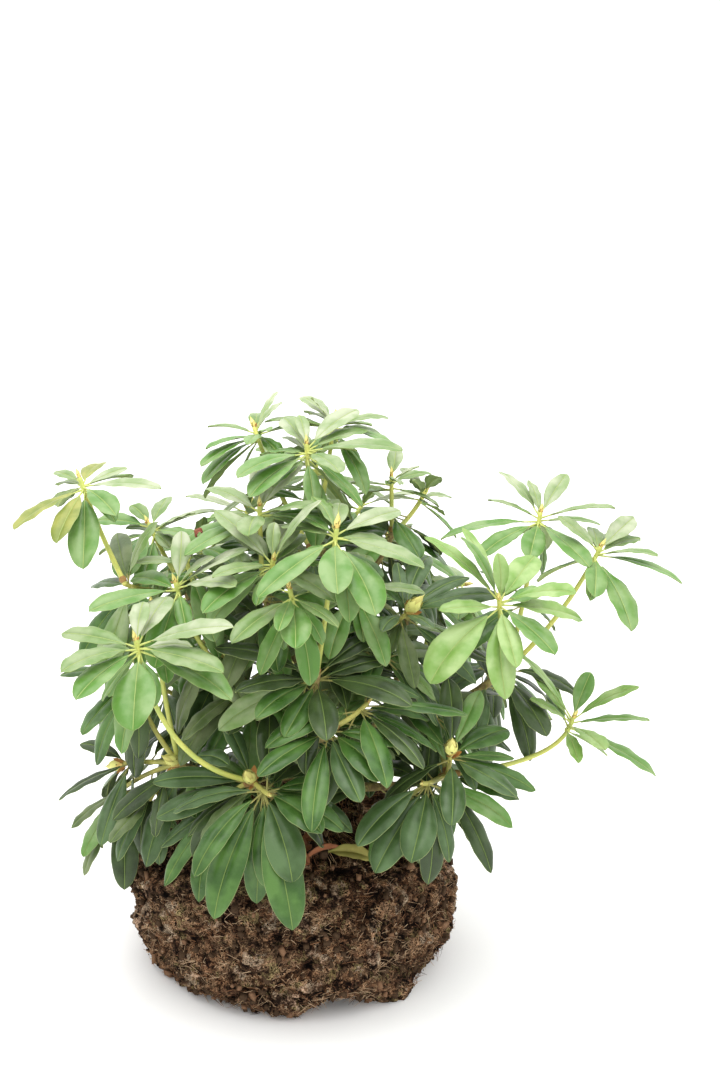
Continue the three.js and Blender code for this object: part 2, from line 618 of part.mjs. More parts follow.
// One leaf as rings: its chord lies at lift degrees above level, and its midrib bends over it by the droop.
function leafRings({ root, turn, lift, droop, long, wide, roll }, margin) {
  const level = place([turn, 1, 0]);
  const across = new THREE.Vector3(-level.y, level.x, 0);
  const tilt = radians(roll);
  const half = (long * wide) / 2;
  const thick = long * LEAF_THICK;
  const rings = [[root.clone().addScaledVector(level, LEAF_ROOT)]];
  let p = root;
  let before = 0;
  for (const [share, width] of [...LEAF_SECTIONS, [1, 0]]) {
    const middle = (share + before) / 2;
    const slope = radians(lift + droop * (LEAF_BEND[2] - middle * (LEAF_BEND[0] + LEAF_BEND[1] * middle)));
    const along = level.clone().multiplyScalar(Math.cos(slope)).addScaledVector(UP, Math.sin(slope));
    const upright = along.clone().cross(across);
    const side = across.clone().multiplyScalar(Math.cos(tilt)).addScaledVector(upright, Math.sin(tilt));
    const face = upright.clone().multiplyScalar(Math.cos(tilt)).addScaledVector(across, -Math.sin(tilt));
    p = p.clone().addScaledVector(along, long * (share - before));
    before = share;
    if (width === 0) rings.push([p.clone().addScaledVector(along, margin)]);
    else {
      const w = half * width + margin;
      const rise = thick * (1 - LEAF_RIB) + margin / 2;
      rings.push([
        p.clone().addScaledVector(side, w).addScaledVector(face, rise),
        p.clone().addScaledVector(side, -w).addScaledVector(face, rise),
        p.clone().addScaledVector(face, -thick * LEAF_RIB - margin),
      ]);
    }
  }
  return rings;
}

// A bud: a plump spindle on the tip of its shoot.
function budRings(tip, axis, long) {
  const plump = long * (long > BUD_PLUMP.flowerFrom ? BUD_PLUMP.flower : BUD_PLUMP.leaf);
  const side = new THREE.Vector3(1, 0, 0).addScaledVector(axis, -axis.x).normalize();
  const other = axis.clone().cross(side);
  const rings = BUD_SECTIONS.map(([share, width]) => {
    const centre = tip.clone().addScaledVector(axis, share * long);
    return [0, 1, 2, 3].map((i) => {
      const a = (Math.PI * i) / 2;
      return centre
        .clone()
        .addScaledVector(side, plump * width * Math.cos(a))
        .addScaledVector(other, plump * width * Math.sin(a));
    });
  });
  return [...rings, [tip.clone().addScaledVector(axis, long)]];
}

// The way a ring faces: mostly up, and somewhat to the front, outwards and along its shoot.
function ringLight({ tip, axis }) {
  const out = new THREE.Vector3(tip.x, tip.y, 0);
  const share = Math.min(1, out.length() / LIGHT.reach);
  const light = UP.clone().addScaledVector(out.normalize(), LIGHT.out * share);
  light.y -= LIGHT.front;
  return light.addScaledVector(axis, ALONG).normalize();
}

// The roll that turns a leaf's upper side to the light.
function faceRoll(turn, lift, light) {
  const level = place([turn, 1, 0]);
  const across = new THREE.Vector3(-level.y, level.x, 0);
  const slope = radians(lift);
  const along = level.multiplyScalar(Math.cos(slope)).addScaledVector(UP, Math.sin(slope));
  const upright = along.cross(across);
  return (-Math.atan2(light.dot(across), light.dot(upright)) * 180) / Math.PI;
}

function shootDice(shoot) {
  return dice(SEED * (shoot.seed ? 100 + shoot.seed : shoot.id) + 13);
}

// Sets one leaf on its ring, moved or shortened until it is clear of what already stands, or leaves it out.
// Leaves of one ring may meet at their roots.
function setLeaf(ring, leaf, order, standing) {
  const root = ring.tip.clone().addScaledVector(ring.axis, -RING_TOP - RING_DEPTH * order);
  for (const [swing, raise, shrink] of TRIES) {
    const moved = { ...leaf, root, turn: leaf.turn + swing, lift: leaf.lift + raise, long: leaf.long * shrink };
    const whole = leafRings(moved, BREATH);
    const blade = outline(loft(whole.slice(1)));
    const all = outline(loft(whole));
    const meets = (body) => (body.shoot === ring.id ? touches(blade, body.blade) : touches(all, body.all));
    if (!all.points.some(insideBall) && !standing.some(meets)) {
      ring.standing.push(moved);
      standing.push({ shoot: ring.id, all, blade });
      return;
    }
  }
}

// The leaves a ring is given one by one, the lowest ones rooted lowest.
function givenLeaves(ring, standing) {
  const light = ringLight(ring);
  for (const [turn, lift, long, wide = ring.wide] of ring.set ?? []) {
    const roll = FACING * faceRoll(turn, lift, light);
    const order = THREE.MathUtils.clamp(0.5 - lift / 90, 0, 1);
    setLeaf(ring, { turn, lift, droop: ring.droop, long, wide, roll }, order, standing);
  }
}

// The leaves that fill a ring by the seeded rule.
function ringLeaves(ring, random, standing) {
  const light = ringLight(ring);
  for (let i = 0; i < ring.leaves; i += 1) {
    const order = 1 - ((i * GOLDEN) % 1);
    const turn = ring.first + (360 * i) / ring.leaves + (random() - 0.5) * SCATTER.turn;
    const slope = (Math.asin(light.dot(place([turn, 1, 0]))) * 180) / Math.PI;
    const lift = ring.lift + ring.spread * (0.5 - order) + (random() - 0.5) * SCATTER.lift - slope;
    const droop = ring.droop * (1 + (random() - 0.5) * SCATTER.droop);
    const long = ring.long * (LENGTHS[0] + LENGTHS[1] * order + SCATTER.long * random());
    const wide = ring.wide * (1 + (random() - 0.5) * SCATTER.wide);
    const roll = FACING * faceRoll(turn, lift, light) + (random() - 0.5) * SCATTER.roll;
    setLeaf(ring, { turn, lift, droop, long, wide, roll }, order, standing);
  }
}

// Every shoot of a mass: its curve, its ring of leaves and its bud.
function massShoots(name, curves) {
  const { fork: ring, shoots } = MASSES[name];
  const stem = curves[name];
  const tips = [];
  const fork = { ...OLD, ...ring, tip: stem.getPoint(1), axis: tangent(stem, 1), curve: null };
  for (const shoot of shoots) {
    const base = shoot.from === undefined ? fork : tips[shoot.from];
    const start = base.tip.clone().addScaledVector(base.axis, -2);
    const tip = place(shoot.tip);
    const curve = bend(start, tip, shoot.arch);
    const axis = tip.clone().sub(curve.getPoint(1 - 1 / SHOOT_STEPS)).normalize();
    tips.push({ ...(shoot.age ?? YOUNG), ...shoot, tip, axis, curve });
  }
  return [fork, ...tips];
}

function buildPlant() {
  const trunk = trunkRings();
  const curves = limbCurves(trunk);
  const bodies = { root_ball: solid(rootBall()), trunk: solid(loft(trunk.rings)) };
  const clear = { trunk: solid(loft(grown(trunk.rings, SEAT))) };
  const standing = [{ shoot: "trunk", all: outline(loft(grown(trunk.rings, BREATH))) }];
  const stems = {};
  for (const name of Object.keys(LIMBS)) {
    const { wood, stem } = limbParts(name, curves);
    clear[name] = solid(loft(grown(wood, SEAT)));
    stems[name] = stem;
    bodies["bough_" + name] = solid(loft(wood));
    standing.push({ shoot: "bough_" + name, all: outline(loft(grown(wood, BREATH))) });
  }
  for (const [name, limb] of Object.entries(LIMBS)) {
    const cut = bodies["bough_" + name].subtract(clear[limb.from]);
    bodies["bough_" + name] = cut.decompose().sort((a, b) => b.volume() - a.volume())[0];
  }

  const growth = {};
  let count = 0;
  for (const name of Object.keys(MASSES)) {
    growth[name] = massShoots(name, curves);
    for (const shoot of growth[name]) {
      shoot.id = count += 1;
      shoot.standing = [];
      const rings = shoot.curve ? tubeRings(shoot.curve, 0, 1, SHOOT_THICK, SHOOT_SIDES, SHOOT_STEPS) : stems[name];
      shoot.rings = rings;
      const all = outline(loft(grown(rings, BREATH)));
      standing.push({ shoot: shoot.id, all, blade: outline(loft(rings.slice(0, 2))) });
      if (shoot.bud) {
        shoot.budRings = budRings(shoot.tip, shoot.axis, shoot.bud);
        const bud = outline(loft(grown(shoot.budRings, BREATH / 2)));
        standing.push({ shoot: shoot.id, all: bud, blade: bud });
      }
    }
  }
  const shoots = Object.values(growth).flat();
  for (const shoot of shoots) givenLeaves(shoot, standing);
  for (const shoot of shoots) ringLeaves(shoot, shootDice(shoot), standing);
  for (const name of Object.keys(MASSES)) {
    const pieces = [];
    for (const shoot of growth[name]) {
      pieces.push(solid(loft(shoot.rings)));
      if (shoot.bud) pieces.push(solid(loft(shoot.budRings)));
      for (const leaf of shoot.standing) pieces.push(solid(loft(leafRings(leaf, 0))));
    }
    const fused = wasm.Manifold.union(pieces);
    bodies["foliage_" + name] = fused.decompose().sort((a, b) => b.volume() - a.volume())[0];
  }
  return bodies;
}

function meshOf(name, body, colour, roughness) {
  const data = body.getMesh();
  const geometry = new THREE.BufferGeometry();
  geometry.setAttribute("position", new THREE.BufferAttribute(data.vertProperties, 3));
  geometry.setIndex(new THREE.BufferAttribute(data.triVerts, 1));
  geometry.computeVertexNormals();
  const mesh = new THREE.Mesh(geometry, new THREE.MeshStandardMaterial({ color: colour, roughness, metalness: 0 }));
  mesh.name = name;
  return mesh;
}

const plant = new THREE.Group();
plant.name = "rhododendron";
for (const [name, body] of Object.entries(buildPlant())) {
  const leafy = name.startsWith("foliage_");
  const colour = leafy ? COLOURS.leaf : name === "root_ball" ? COLOURS.soil : COLOURS.wood;
  plant.add(meshOf(name, body, colour, leafy ? 0.5 : 0.9));
}

export default plant;
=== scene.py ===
# A young rhododendron taken out of its pot: root ball, forked trunk, boughs, leafy shoots and buds.
# Metres in Blender, +Z up, the origin under the root ball, the shrub's front towards -Y. A turn is a
# heading round the plant, 0 towards +X and 90 towards +Y. Growth is worked out in millimetres and degrees.
import math

import bpy
import numpy as np
from mathutils import Euler, Matrix, Vector, noise


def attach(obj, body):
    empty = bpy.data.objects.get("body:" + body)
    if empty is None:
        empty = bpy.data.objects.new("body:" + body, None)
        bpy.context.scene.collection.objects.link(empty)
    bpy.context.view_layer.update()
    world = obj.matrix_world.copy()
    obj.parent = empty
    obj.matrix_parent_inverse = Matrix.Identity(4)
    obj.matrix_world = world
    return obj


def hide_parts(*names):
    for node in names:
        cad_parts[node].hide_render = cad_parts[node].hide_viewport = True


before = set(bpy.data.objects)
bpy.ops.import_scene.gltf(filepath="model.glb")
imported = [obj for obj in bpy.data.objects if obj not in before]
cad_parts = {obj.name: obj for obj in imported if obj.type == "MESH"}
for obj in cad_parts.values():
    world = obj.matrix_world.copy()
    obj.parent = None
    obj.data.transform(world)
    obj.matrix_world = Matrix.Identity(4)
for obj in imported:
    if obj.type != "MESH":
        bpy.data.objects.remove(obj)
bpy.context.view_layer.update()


# Camera. It stands where someone would who looks a little down on the shrub from a step away, and it is
# held a touch off level.
EYE = (0.062, -1.635, 0.92956)
LOOK_DOWN, HELD_OFF_LEVEL = 14.582, 2.0
LENS, FILM = 50.0, 36.0
camera_data = bpy.data.cameras.new("camera")
camera_data.lens, camera_data.sensor_width = LENS, FILM
camera = bpy.data.objects.new("camera", camera_data)
camera.matrix_world = (
    Matrix.Translation(EYE)
    @ Euler((math.radians(90 - LOOK_DOWN), 0, 0)).to_matrix().to_4x4()
    @ Matrix.Rotation(math.radians(HELD_OFF_LEVEL), 4, "Z")
)
bpy.context.scene.collection.objects.link(camera)
bpy.context.scene.camera = camera


# Studio. A seamless pale floor under a white dome that is brightest overhead and behind the shrub, with one
# large soft lamp overhead to the front left and a weaker one on the right.
class Wire:
    """A shader socket that sums and products can be written with."""

    def __init__(self, tree, socket):
        self.tree, self.socket = tree, socket

    def sum_of(self, kind, first, second):
        node = self.tree.nodes.new("ShaderNodeMath")
        node.operation = kind
        for entry, value in zip(node.inputs, (first, second)):
            join(self.tree, entry, value)
        return Wire(self.tree, node.outputs[0])

    def __add__(self, other):
        return self.sum_of("ADD", self, other)

    def __mul__(self, other):
        return self.sum_of("MULTIPLY", self, other)

    __radd__, __rmul__ = __add__, __mul__


def join(tree, entry, value):
    if isinstance(value, Wire):
        tree.links.new(value.socket, entry)
    elif isinstance(value, tuple) and len(value) == 3 and entry.type == "RGBA":
        entry.default_value = (*value, 1)
    else:
        entry.default_value = value


class Finish:
    """One material: its nodes and its shader."""

    def __init__(self, name, **constants):
        self.material = bpy.data.materials.new(name)
        self.material.use_nodes = True
        self.tree = self.material.node_tree
        self.shader = self.tree.nodes["Principled BSDF"]
        for entry, value in constants.items():
            join(self.tree, self.shader.inputs[entry.replace("_", " ")], value)

    def node(self, kind, settings=None, links=None, out=0):
        made = self.tree.nodes.new(kind)
        for key, value in (settings or {}).items():
            if key == "stops":
                ramp = made.color_ramp.elements
                while len(ramp) < len(value):
                    ramp.new(0.5)
                for stop, (share, colour) in zip(ramp, value):
                    stop.position = share
                    stop.color = (*colour, 1)
            else:
                setattr(made, key, value)
        for entry, value in (links or {}).items():
            join(self.tree, made.inputs[entry], value)
        return Wire(self.tree, made.outputs[out])

    def speckle(self, scale, detail=4.0, rough=0.55, stretch=(1, 1, 1)):
        here = self.node("ShaderNodeTexCoord", out=3)
        if stretch != (1, 1, 1):
            here = self.node("ShaderNodeMapping", links={"Vector": here, "Scale": stretch})
        links = {"Vector": here, "Scale": scale, "Detail": detail, "Roughness": rough}
        return self.node("ShaderNodeTexNoise", {}, links)

    def ramp(self, wire, *stops):
        return self.node("ShaderNodeValToRGB", {"stops": stops}, {"Fac": wire})

    def blend(self, share, one, other):
        return self.node("ShaderNodeMix", {"data_type": "RGBA"}, {0: share, 6: one, 7: other}, out=2)

    def set(self, **wires):
        for entry, wire in wires.items():
            join(self.tree, self.shader.inputs[entry.replace("_", " ")], wire)

    def bump(self, height, strength, depth):
        links = {"Height": height, "Strength": strength, "Distance": depth}
        self.set(Normal=self.node("ShaderNodeBump", {}, links))


def new_piece(name, points, quads, finishes, marks=None, scale=0.001):
    """A smooth mesh object of faces with four sides, or three where a face lists its last point twice."""
    quads = np.asarray(quads, np.int32).reshape(-1, 4)
    three = quads[:, 2] == quads[:, 3]
    sides = np.where(three, 3, 4)
    keep = np.ones(quads.shape, bool)
    keep[three, 3] = False
    mesh = bpy.data.meshes.new(name)
    mesh.vertices.add(len(points))
    mesh.vertices.foreach_set("co", (np.asarray(points, float) * scale).astype(np.float32).ravel())
    mesh.loops.add(int(sides.sum()))
    mesh.loops.foreach_set("vertex_index", quads[keep])
    mesh.polygons.add(len(quads))
    mesh.polygons.foreach_set("loop_start", np.concatenate([[0], np.cumsum(sides)[:-1]]).astype(np.int32))
    if marks is not None:
        mesh.polygons.foreach_set("material_index", np.asarray(marks, np.int32))
    for finish in finishes:
        mesh.materials.append(finish.material)
    mesh.update(calc_edges=True)
    mesh.shade_smooth()
    piece = bpy.data.objects.new(name, mesh)
    bpy.context.scene.collection.objects.link(piece)
    return piece


FLOOR_REACH, FLOOR_LEVEL = 9.0, -0.0004
floor_finish = Finish("studio_floor", Roughness=0.75, Specular_IOR_Level=0.2)
cloud = floor_finish.speckle(3.0, 2.0)
floor_finish.set(Base_Color=floor_finish.blend(cloud * 0.5, (0.98, 0.98, 0.975), (0.97, 0.97, 0.965)))
floor_finish.bump(floor_finish.speckle(220.0, 2.0), 0.04, 0.0005)
corners = [(x * FLOOR_REACH, y * FLOOR_REACH, FLOOR_LEVEL) for x, y in ((-1, -1), (1, -1), (1, 1), (-1, 1))]
floor = new_piece("studio_floor", corners, [(0, 1, 2, 3)], [floor_finish], scale=1)

DOME, DOME_BACK, DOME_UP = 1.12, 0.12, 0.7  # its strength, and its gain behind the shrub and overhead
world = bpy.data.worlds.new("dome")
world.use_nodes = True
sky = world.node_tree
sky.nodes["Background"].inputs["Color"].default_value = (1, 1, 1, 1)
heading = sky.nodes.new("ShaderNodeTexCoord")
parts = sky.nodes.new("ShaderNodeSeparateXYZ")
sky.links.new(heading.outputs["Generated"], parts.inputs["Vector"])
back, up = Wire(sky, parts.outputs["Y"]), Wire(sky, parts.outputs["Z"])
join(sky, sky.nodes["Background"].inputs["Strength"], DOME + back * DOME_BACK + up * DOME_UP)
bpy.context.scene.world = world
bpy.context.scene.view_settings.view_transform = "Standard"

LAMPS_AIM = Vector((0, 0, 0.35))
LAMPS = {
    "lamp_overhead": dict(place=(-0.3, -0.3, 2.5), size=2.1, power=40, colour=(1, 0.985, 0.95)),
    "lamp_right": dict(place=(1.7, -0.9, 1.5), size=1.4, power=4, colour=(0.97, 0.985, 1)),
}
for lamp_name, lamp in LAMPS.items():
    light = bpy.data.lights.new(lamp_name, "AREA")
    light.energy, light.size, light.color = lamp["power"], lamp["size"], lamp["colour"]
    holder = bpy.data.objects.new(lamp_name, light)
    holder.location = lamp["place"]
    holder.rotation_euler = (LAMPS_AIM - holder.location).to_track_quat("-Z", "Y").to_euler()
    bpy.context.scene.collection.objects.link(holder)


# Root ball. Moist dark peat bound by fine roots, in the shape of the round pot it grew in: broad lumps, a
# clod gone from the lower edge at the front, and a flat foot. It carries the trunk on its crown.
BALL_PROFILE = ((0, 160), (16, 176), (48, 187), (86, 189), (120, 186), (146, 172), (164, 138), (172, 70))
BALL_TOP, BALL_BROAD, BALL_FINE, BALL_SKIN, BALL_HEART, CROWN_LUMPS = 172, 2.7, 2.1, 3, 80, 3.5
BALL_ROUND, BALL_RISE, BALL_CAP = 440, 92, 22  # faces round it, up its side, and over its crown and foot
SLUMP_FROM, SLUMP = 64, 21  # its shoulder has slumped towards +X
BITE_TURN, BITE_SPREAD, BITE_DEEP, BITE_HIGH, LIP_AT, LIP = 291, 18, 34, 26, 26, 14


def place(turn, reach, height):
    t = np.radians(turn)
    return np.stack(np.broadcast_arrays(reach * np.cos(t), reach * np.sin(t), height), -1)


def ball_lump(turn, height):
    a = np.radians(turn)
    broad = np.sin(2 * a + 0.6) + 0.8 * np.sin(3 * a - 1.1 + height * 0.02)
    fine = np.sin(7 * a + height * 0.09) + np.sin(11 * a - height * 0.13 + 2)
    off = np.fmod(np.fmod(turn - BITE_TURN, 360) + 540, 360) - 180
    low = np.maximum(0, 1 - height / BITE_HIGH)
    bite = BITE_DEEP * low * np.maximum(0, 1 - np.abs(off) / BITE_SPREAD)
    lip = LIP * low * np.maximum(0, 1 - np.abs(off - LIP_AT) / BITE_SPREAD)
    slump = SLUMP * np.maximum(0, height - SLUMP_FROM) / (BALL_TOP - SLUMP_FROM)
    return BALL_BROAD * broad + BALL_FINE * fine - bite + lip - slump * np.cos(a)


def ball_reach(height):
    heights, reaches = zip(*BALL_PROFILE)
    return np.interp(height, heights, reaches)


def crumble(points, scale, seed):
    """Noise of one size at each point, about -1 to 1."""
    shift = Vector((seed * 17.3, seed * 5.1, -seed * 9.7))
    return np.array([noise.noise(Vector(p) / scale + shift) for p in points])


def lumps(points, *sizes):
    """Noise of several sizes added up, each with its strength, scale and seed."""
    return sum(strength * crumble(points, scale, seed) for strength, scale, seed in sizes)


def grid_quads(rows, columns, closed, start=0):
    """Faces of a grid of points, row after row. Each row may close on itself."""
    across = columns if closed else columns - 1
    k, i = np.meshgrid(np.arange(rows - 1), np.arange(across), indexing="ij")
    j = (i + 1) % columns
    low, high = start + k * columns, start + (k + 1) * columns
    return np.stack([low + i, low + j, high + j, high + i], -1).reshape(-1, 4)


def capped_quads(rows, columns):
    """Faces of a closed grid of points, and of a fan at each end to one more point."""
    i = np.arange(columns)
    j, top = (i + 1) % columns, columns * (rows - 1)
    low, high = i * 0 + columns * rows, i * 0 + columns * rows + 1
    fans = [np.stack([j, i, low, low], -1), np.stack([top + i, top + j, high, high], -1)]
    return np.concatenate([grid_quads(rows, columns, True), *fans])


CAP_FROM, CAP_TO = 0.02, 0.97  # how far out the first and last rings of the foot and the crown lie
turns = np.arange(BALL_ROUND) * 360 / BALL_ROUND
shares = [(0, s) for s in np.linspace(CAP_FROM, CAP_TO, BALL_CAP)]
shares += [(h, 1) for h in np.linspace(0, BALL_TOP, BALL_RISE)]
shares += [(BALL_TOP, s) for s in np.linspace(CAP_TO, CAP_FROM, BALL_CAP)]
ball_points = np.concatenate([
    place(turns, (ball_reach(height) + ball_lump(turns, height)) * share, height)
    for height, share in shares])
middle = ball_points - [0, 0, BALL_HEART]
outward = middle / np.linalg.norm(middle, axis=1)[:, None]
broad = lumps(ball_points, (7.5, 38, 1), (4.5, 15, 2))
felt = lumps(ball_points, (2.6, 6, 3), (1.6, 3, 6))
clefts = sum(deep * np.exp(-(crumble(ball_points, scale, seed) / narrow) ** 2)
             for deep, scale, seed, narrow in ((3, 27, 4, 0.13), (2, 9, 5, 0.12)))
stands_out = broad + felt - clefts
ball_points += outward * stands_out[:, None]
ball_points[:, 2] = np.clip(ball_points[:, 2], 0, BALL_TOP + CROWN_LUMPS)
ball_points[:BALL_CAP * BALL_ROUND, 2] = 0
ball_quads = capped_quads(len(shares), BALL_ROUND)

BLACK, WHITE = (0, 0, 0), (1, 1, 1)


def peat_finish(name, dark, middle, light, fibre):
    """Peat felted with roots: coarse and fine grain, and a net of thin paler fibres over it."""
    made = Finish(name, Specular_IOR_Level=0.03)
    coarse, small = made.speckle(90.0, 6.0, 0.7), made.speckle(520.0, 5.0, 0.75)
    base = made.ramp(coarse * 0.5 + small * 0.5, (0.47, dark), (0.53, middle), (0.61, light))
    here = made.node("ShaderNodeTexCoord", out=3)
    astray = made.node("ShaderNodeTexNoise", {}, {"Vector": here, "Scale": 70.0, "Detail": 3.0}, out=1)
    bent = made.node("ShaderNodeMix", {"data_type": "VECTOR"}, {0: 0.03, 4: here, 5: astray}, out=1)
    threads = []
    for scale, reach in ((170.0, 0.08), (330.0, 0.11)):
        edges = {"Vector": bent, "Scale": scale}
        net = made.node("ShaderNodeTexVoronoi", {"feature": "DISTANCE_TO_EDGE"}, edges)
        threads.append(made.ramp(net, (0.0, WHITE), (reach, BLACK)))
    patchy = made.ramp(made.speckle(60.0, 3.0), (0.42, BLACK), (0.6, WHITE))
    shown = (threads[0] + threads[1] * 0.7) * patchy * 0.9
    made.set(Base_Color=made.blend(shown, base, fibre), Roughness=0.8 + small * 0.2)
    made.bump(coarse + small * 0.8 + shown * 0.35, 1.0, 0.003)
    return made


PEATS = {  # each one's dark, middle and light tone, and its fibres
    # The first peat is painted shade, not a peat of its own: near-black for the ball's clefts and sunk
    # hollows.
    "painted_shade_in_clefts": (
        (0.003, 0.002, 0.0018), (0.01, 0.006, 0.005), (0.05, 0.028, 0.016), (0.24, 0.12, 0.06)),
    "moist_peat": ((0.004, 0.0025, 0.002), (0.034, 0.019, 0.012), (0.24, 0.135, 0.08), (0.78, 0.48, 0.27)),
    "dry_peat": ((0.02, 0.012, 0.008), (0.19, 0.115, 0.073), (0.68, 0.46, 0.31), (0.9, 0.7, 0.48)),
    "red_peat": ((0.008, 0.004, 0.003), (0.07, 0.034, 0.02), (0.34, 0.18, 0.1), (0.75, 0.42, 0.22)),
    "mossy_peat": ((0.008, 0.006, 0.003), (0.058, 0.04, 0.018), (0.28, 0.2, 0.09), (0.72, 0.54, 0.26)),
}
CLEFT_SHADE, MOIST, DRY, RED, MOSSY = range(5)
DEEP_CLEFT, SUNK, DRY_FROM, DRY_PATCHES, RED_FROM, MOSSY_TO = 2.6, -5, 3.8, 9, 0.26, -0.34
patch, tint = lumps(ball_points, (1, 30, 7), (0.5, 6, 8)), lumps(ball_points, (1, 17, 9), (0.5, 4, 10))
# Deep clefts and sunk places take the first, near-black peat as painted shade.
sunk, dry = (clefts > DEEP_CLEFT) | (stands_out < SUNK), stands_out + DRY_PATCHES * patch > DRY_FROM
peat_mark = np.select([sunk, dry, tint > RED_FROM, tint < MOSSY_TO], [CLEFT_SHADE, DRY, RED, MOSSY], MOIST)
peat_mark = np.append(peat_mark, (MOIST, MOIST))
ball_points = np.vstack([ball_points, [[0, 0, 0], [0, 0, BALL_TOP]]])
peats = [peat_finish(name, *tones) for name, tones in PEATS.items()]
ball_piece = new_piece("root_ball_peat", ball_points, ball_quads, peats, peat_mark[ball_quads[:, 0]])
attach(ball_piece, "root")
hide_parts("root_ball")


# Crumbs. Small clods of peat and bits of bark and straw that came loose when the pot was drawn off. They
# cling to the ball's side and crown, pressed in or held by the root hairs.
CRUMBS, CRUMB_SIZES, CRUMB_SEED, ON_CROWN = 3000, (0.9, 7.0), 4241, 0.25
PEAT, BARK, STRAW = range(3)
CORNERS = np.array([(x, y, z) for x in (-1, 1) for y in (-1, 1) for z in (-1, 1)], float) / math.sqrt(3)
CUBE = np.array([(0, 1, 3, 2), (4, 6, 7, 5), (0, 4, 5, 1), (2, 3, 7, 6), (0, 2, 6, 4), (1, 5, 7, 3)])
UP = np.array([0.0, 0.0, 1.0])


def dice(seed):
    """A repeatable run of numbers from 0 to 1."""
    state = seed

    def throw():
        nonlocal state
        state = (state * 16807) % 2147483647
        return state / 2147483647

    return throw


def between(ends, share):
    """The value at a share of the way from the first to the second."""
    return ends[0] + (ends[1] - ends[0]) * share


def on_ball(throw):
    """A point on the ball's skin and its outward way. A share of them lie on the crown."""
    turn = 360 * throw()
    if throw() < ON_CROWN:
        reach = math.sqrt(throw()) * 0.97 * float(ball_reach(BALL_TOP - 8))
        return place(turn, reach, BALL_TOP - 1.0), UP
    height = BALL_TOP * throw()
    reach = float(ball_reach(height) + ball_lump(turn, height))
    return place(turn, reach, height), place(turn, 1.0, 0.25)


def turned(throw):
    """A random way to hold a small thing, as a matrix."""
    return np.array(Euler([6.28 * throw() for _ in range(3)]).to_matrix())


throw = dice(CRUMB_SEED)
crumb_points, crumb_quads, crumb_marks = [], [], []
for k in range(CRUMBS):
    spot, out = on_ball(throw)
    size = between(CRUMB_SIZES, throw() ** 4)
    body = CORNERS * size * np.array([0.6 + 0.8 * throw(), 0.6 + 0.5 * throw(), 0.5 + 0.3 * throw()])
    body = body * (0.75 + 0.5 * np.array([throw() for _ in CORNERS]))[:, None]
    crumb_points.append(np.maximum(body @ turned(throw).T + spot + out * (size * 0.2), (-999, -999, 0.2)))
    crumb_quads.append(CUBE + len(CORNERS) * k)
    crumb_marks += [PEAT if throw() < 0.75 else BARK if throw() < 0.92 or size > 2.5 else STRAW] * len(CUBE)


def mottled(name, colour, other, scale, detail=3.0, bump=None, **constants):
    """A plain finish that drifts between two colours by one noise."""
    made = Finish(name, **constants)
    grain = made.speckle(scale, detail)
    made.set(Base_Color=made.blend(grain, colour, other))
    if bump:
        made.bump(grain, *bump)
    return made


CRUMB_TONES = {
    "peat_crumb": ((0.021, 0.013, 0.008), (0.11, 0.067, 0.039)),
    "bark_crumb": ((0.13, 0.063, 0.035), (0.28, 0.17, 0.098)),
    "straw_crumb": ((0.56, 0.42, 0.27), (0.28, 0.2, 0.11)),
}
crumb_finishes = [mottled(name, *tones, 600.0, bump=(0.5, 0.001), Roughness=0.9, Specular_IOR_Level=0.05)
                  for name, tones in CRUMB_TONES.items()]
crumb_piece = new_piece("root_ball_crumbs", np.concatenate(crumb_points), np.concatenate(crumb_quads),
                        crumb_finishes, crumb_marks)
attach(crumb_piece, "root")


# Root hairs. Thousands of thread-fine roots mat the ball's skin where the pot's side and rim were. Half of
# them lie along it, and the others stand out as a ragged fringe.
HAIRS, HAIR_STEPS, HAIR_THICK, HAIR_SEED = 8400, 4, 0.3, 90210
HAIR_ROOT, HAIR_REACH, HAIR_LOW, HAIR_HIGH, HAIR_WANDER = 1.5, 8, 0.4, 9, 0.35


def unit(way):
    return way / np.linalg.norm(way)


def all_round(sides):
    return 2 * np.pi * np.arange(sides) / sides


def tube(path, radii, sides, relief=None):
    """Points and faces of a round tube along a path of points, its ends closed by a small cap."""
    path = np.asarray(path, float)
    ways = np.gradient(path, axis=0)
    ways /= np.linalg.norm(ways, axis=1)[:, None] + 1e-9
    side = unit(np.cross(ways[0], (0.31, 0.52, 0.79)))
    around = all_round(sides)
    rings = []
    for k, (p, way) in enumerate(zip(path, ways)):
        side = unit(side - way * side.dot(way))
        other = np.cross(way, side)
        r = radii[k] * (1 if relief is None else relief[k])
        rings.append(p + (r * np.cos(around))[:, None] * side + (r * np.sin(around))[:, None] * other)
    ends = [path[0] - ways[0] * radii[0] * 0.3, path[-1] + ways[-1] * radii[-1] * 0.5]
    return np.concatenate([*rings, ends]), capped_quads(len(path), sides)


class Heap:
    """Points and faces of many like things, gathered for one piece."""

    def __init__(self):
        self.points, self.quads, self.marks, self.count = [], [], [], 0

    def add(self, points, quads, mark=0):
        self.points.append(points)
        self.quads.append(np.asarray(quads) + self.count)
        self.marks.append(np.broadcast_to(mark, len(quads)))
        self.count += len(points)

    def piece(self, name, finishes, *nodes, slot):
        points, quads, marks = [np.concatenate(part) for part in (self.points, self.quads, self.marks)]
        made = new_piece(name, points, quads, finishes, marks)
        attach(made, "root")
        if nodes:
            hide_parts(*nodes)


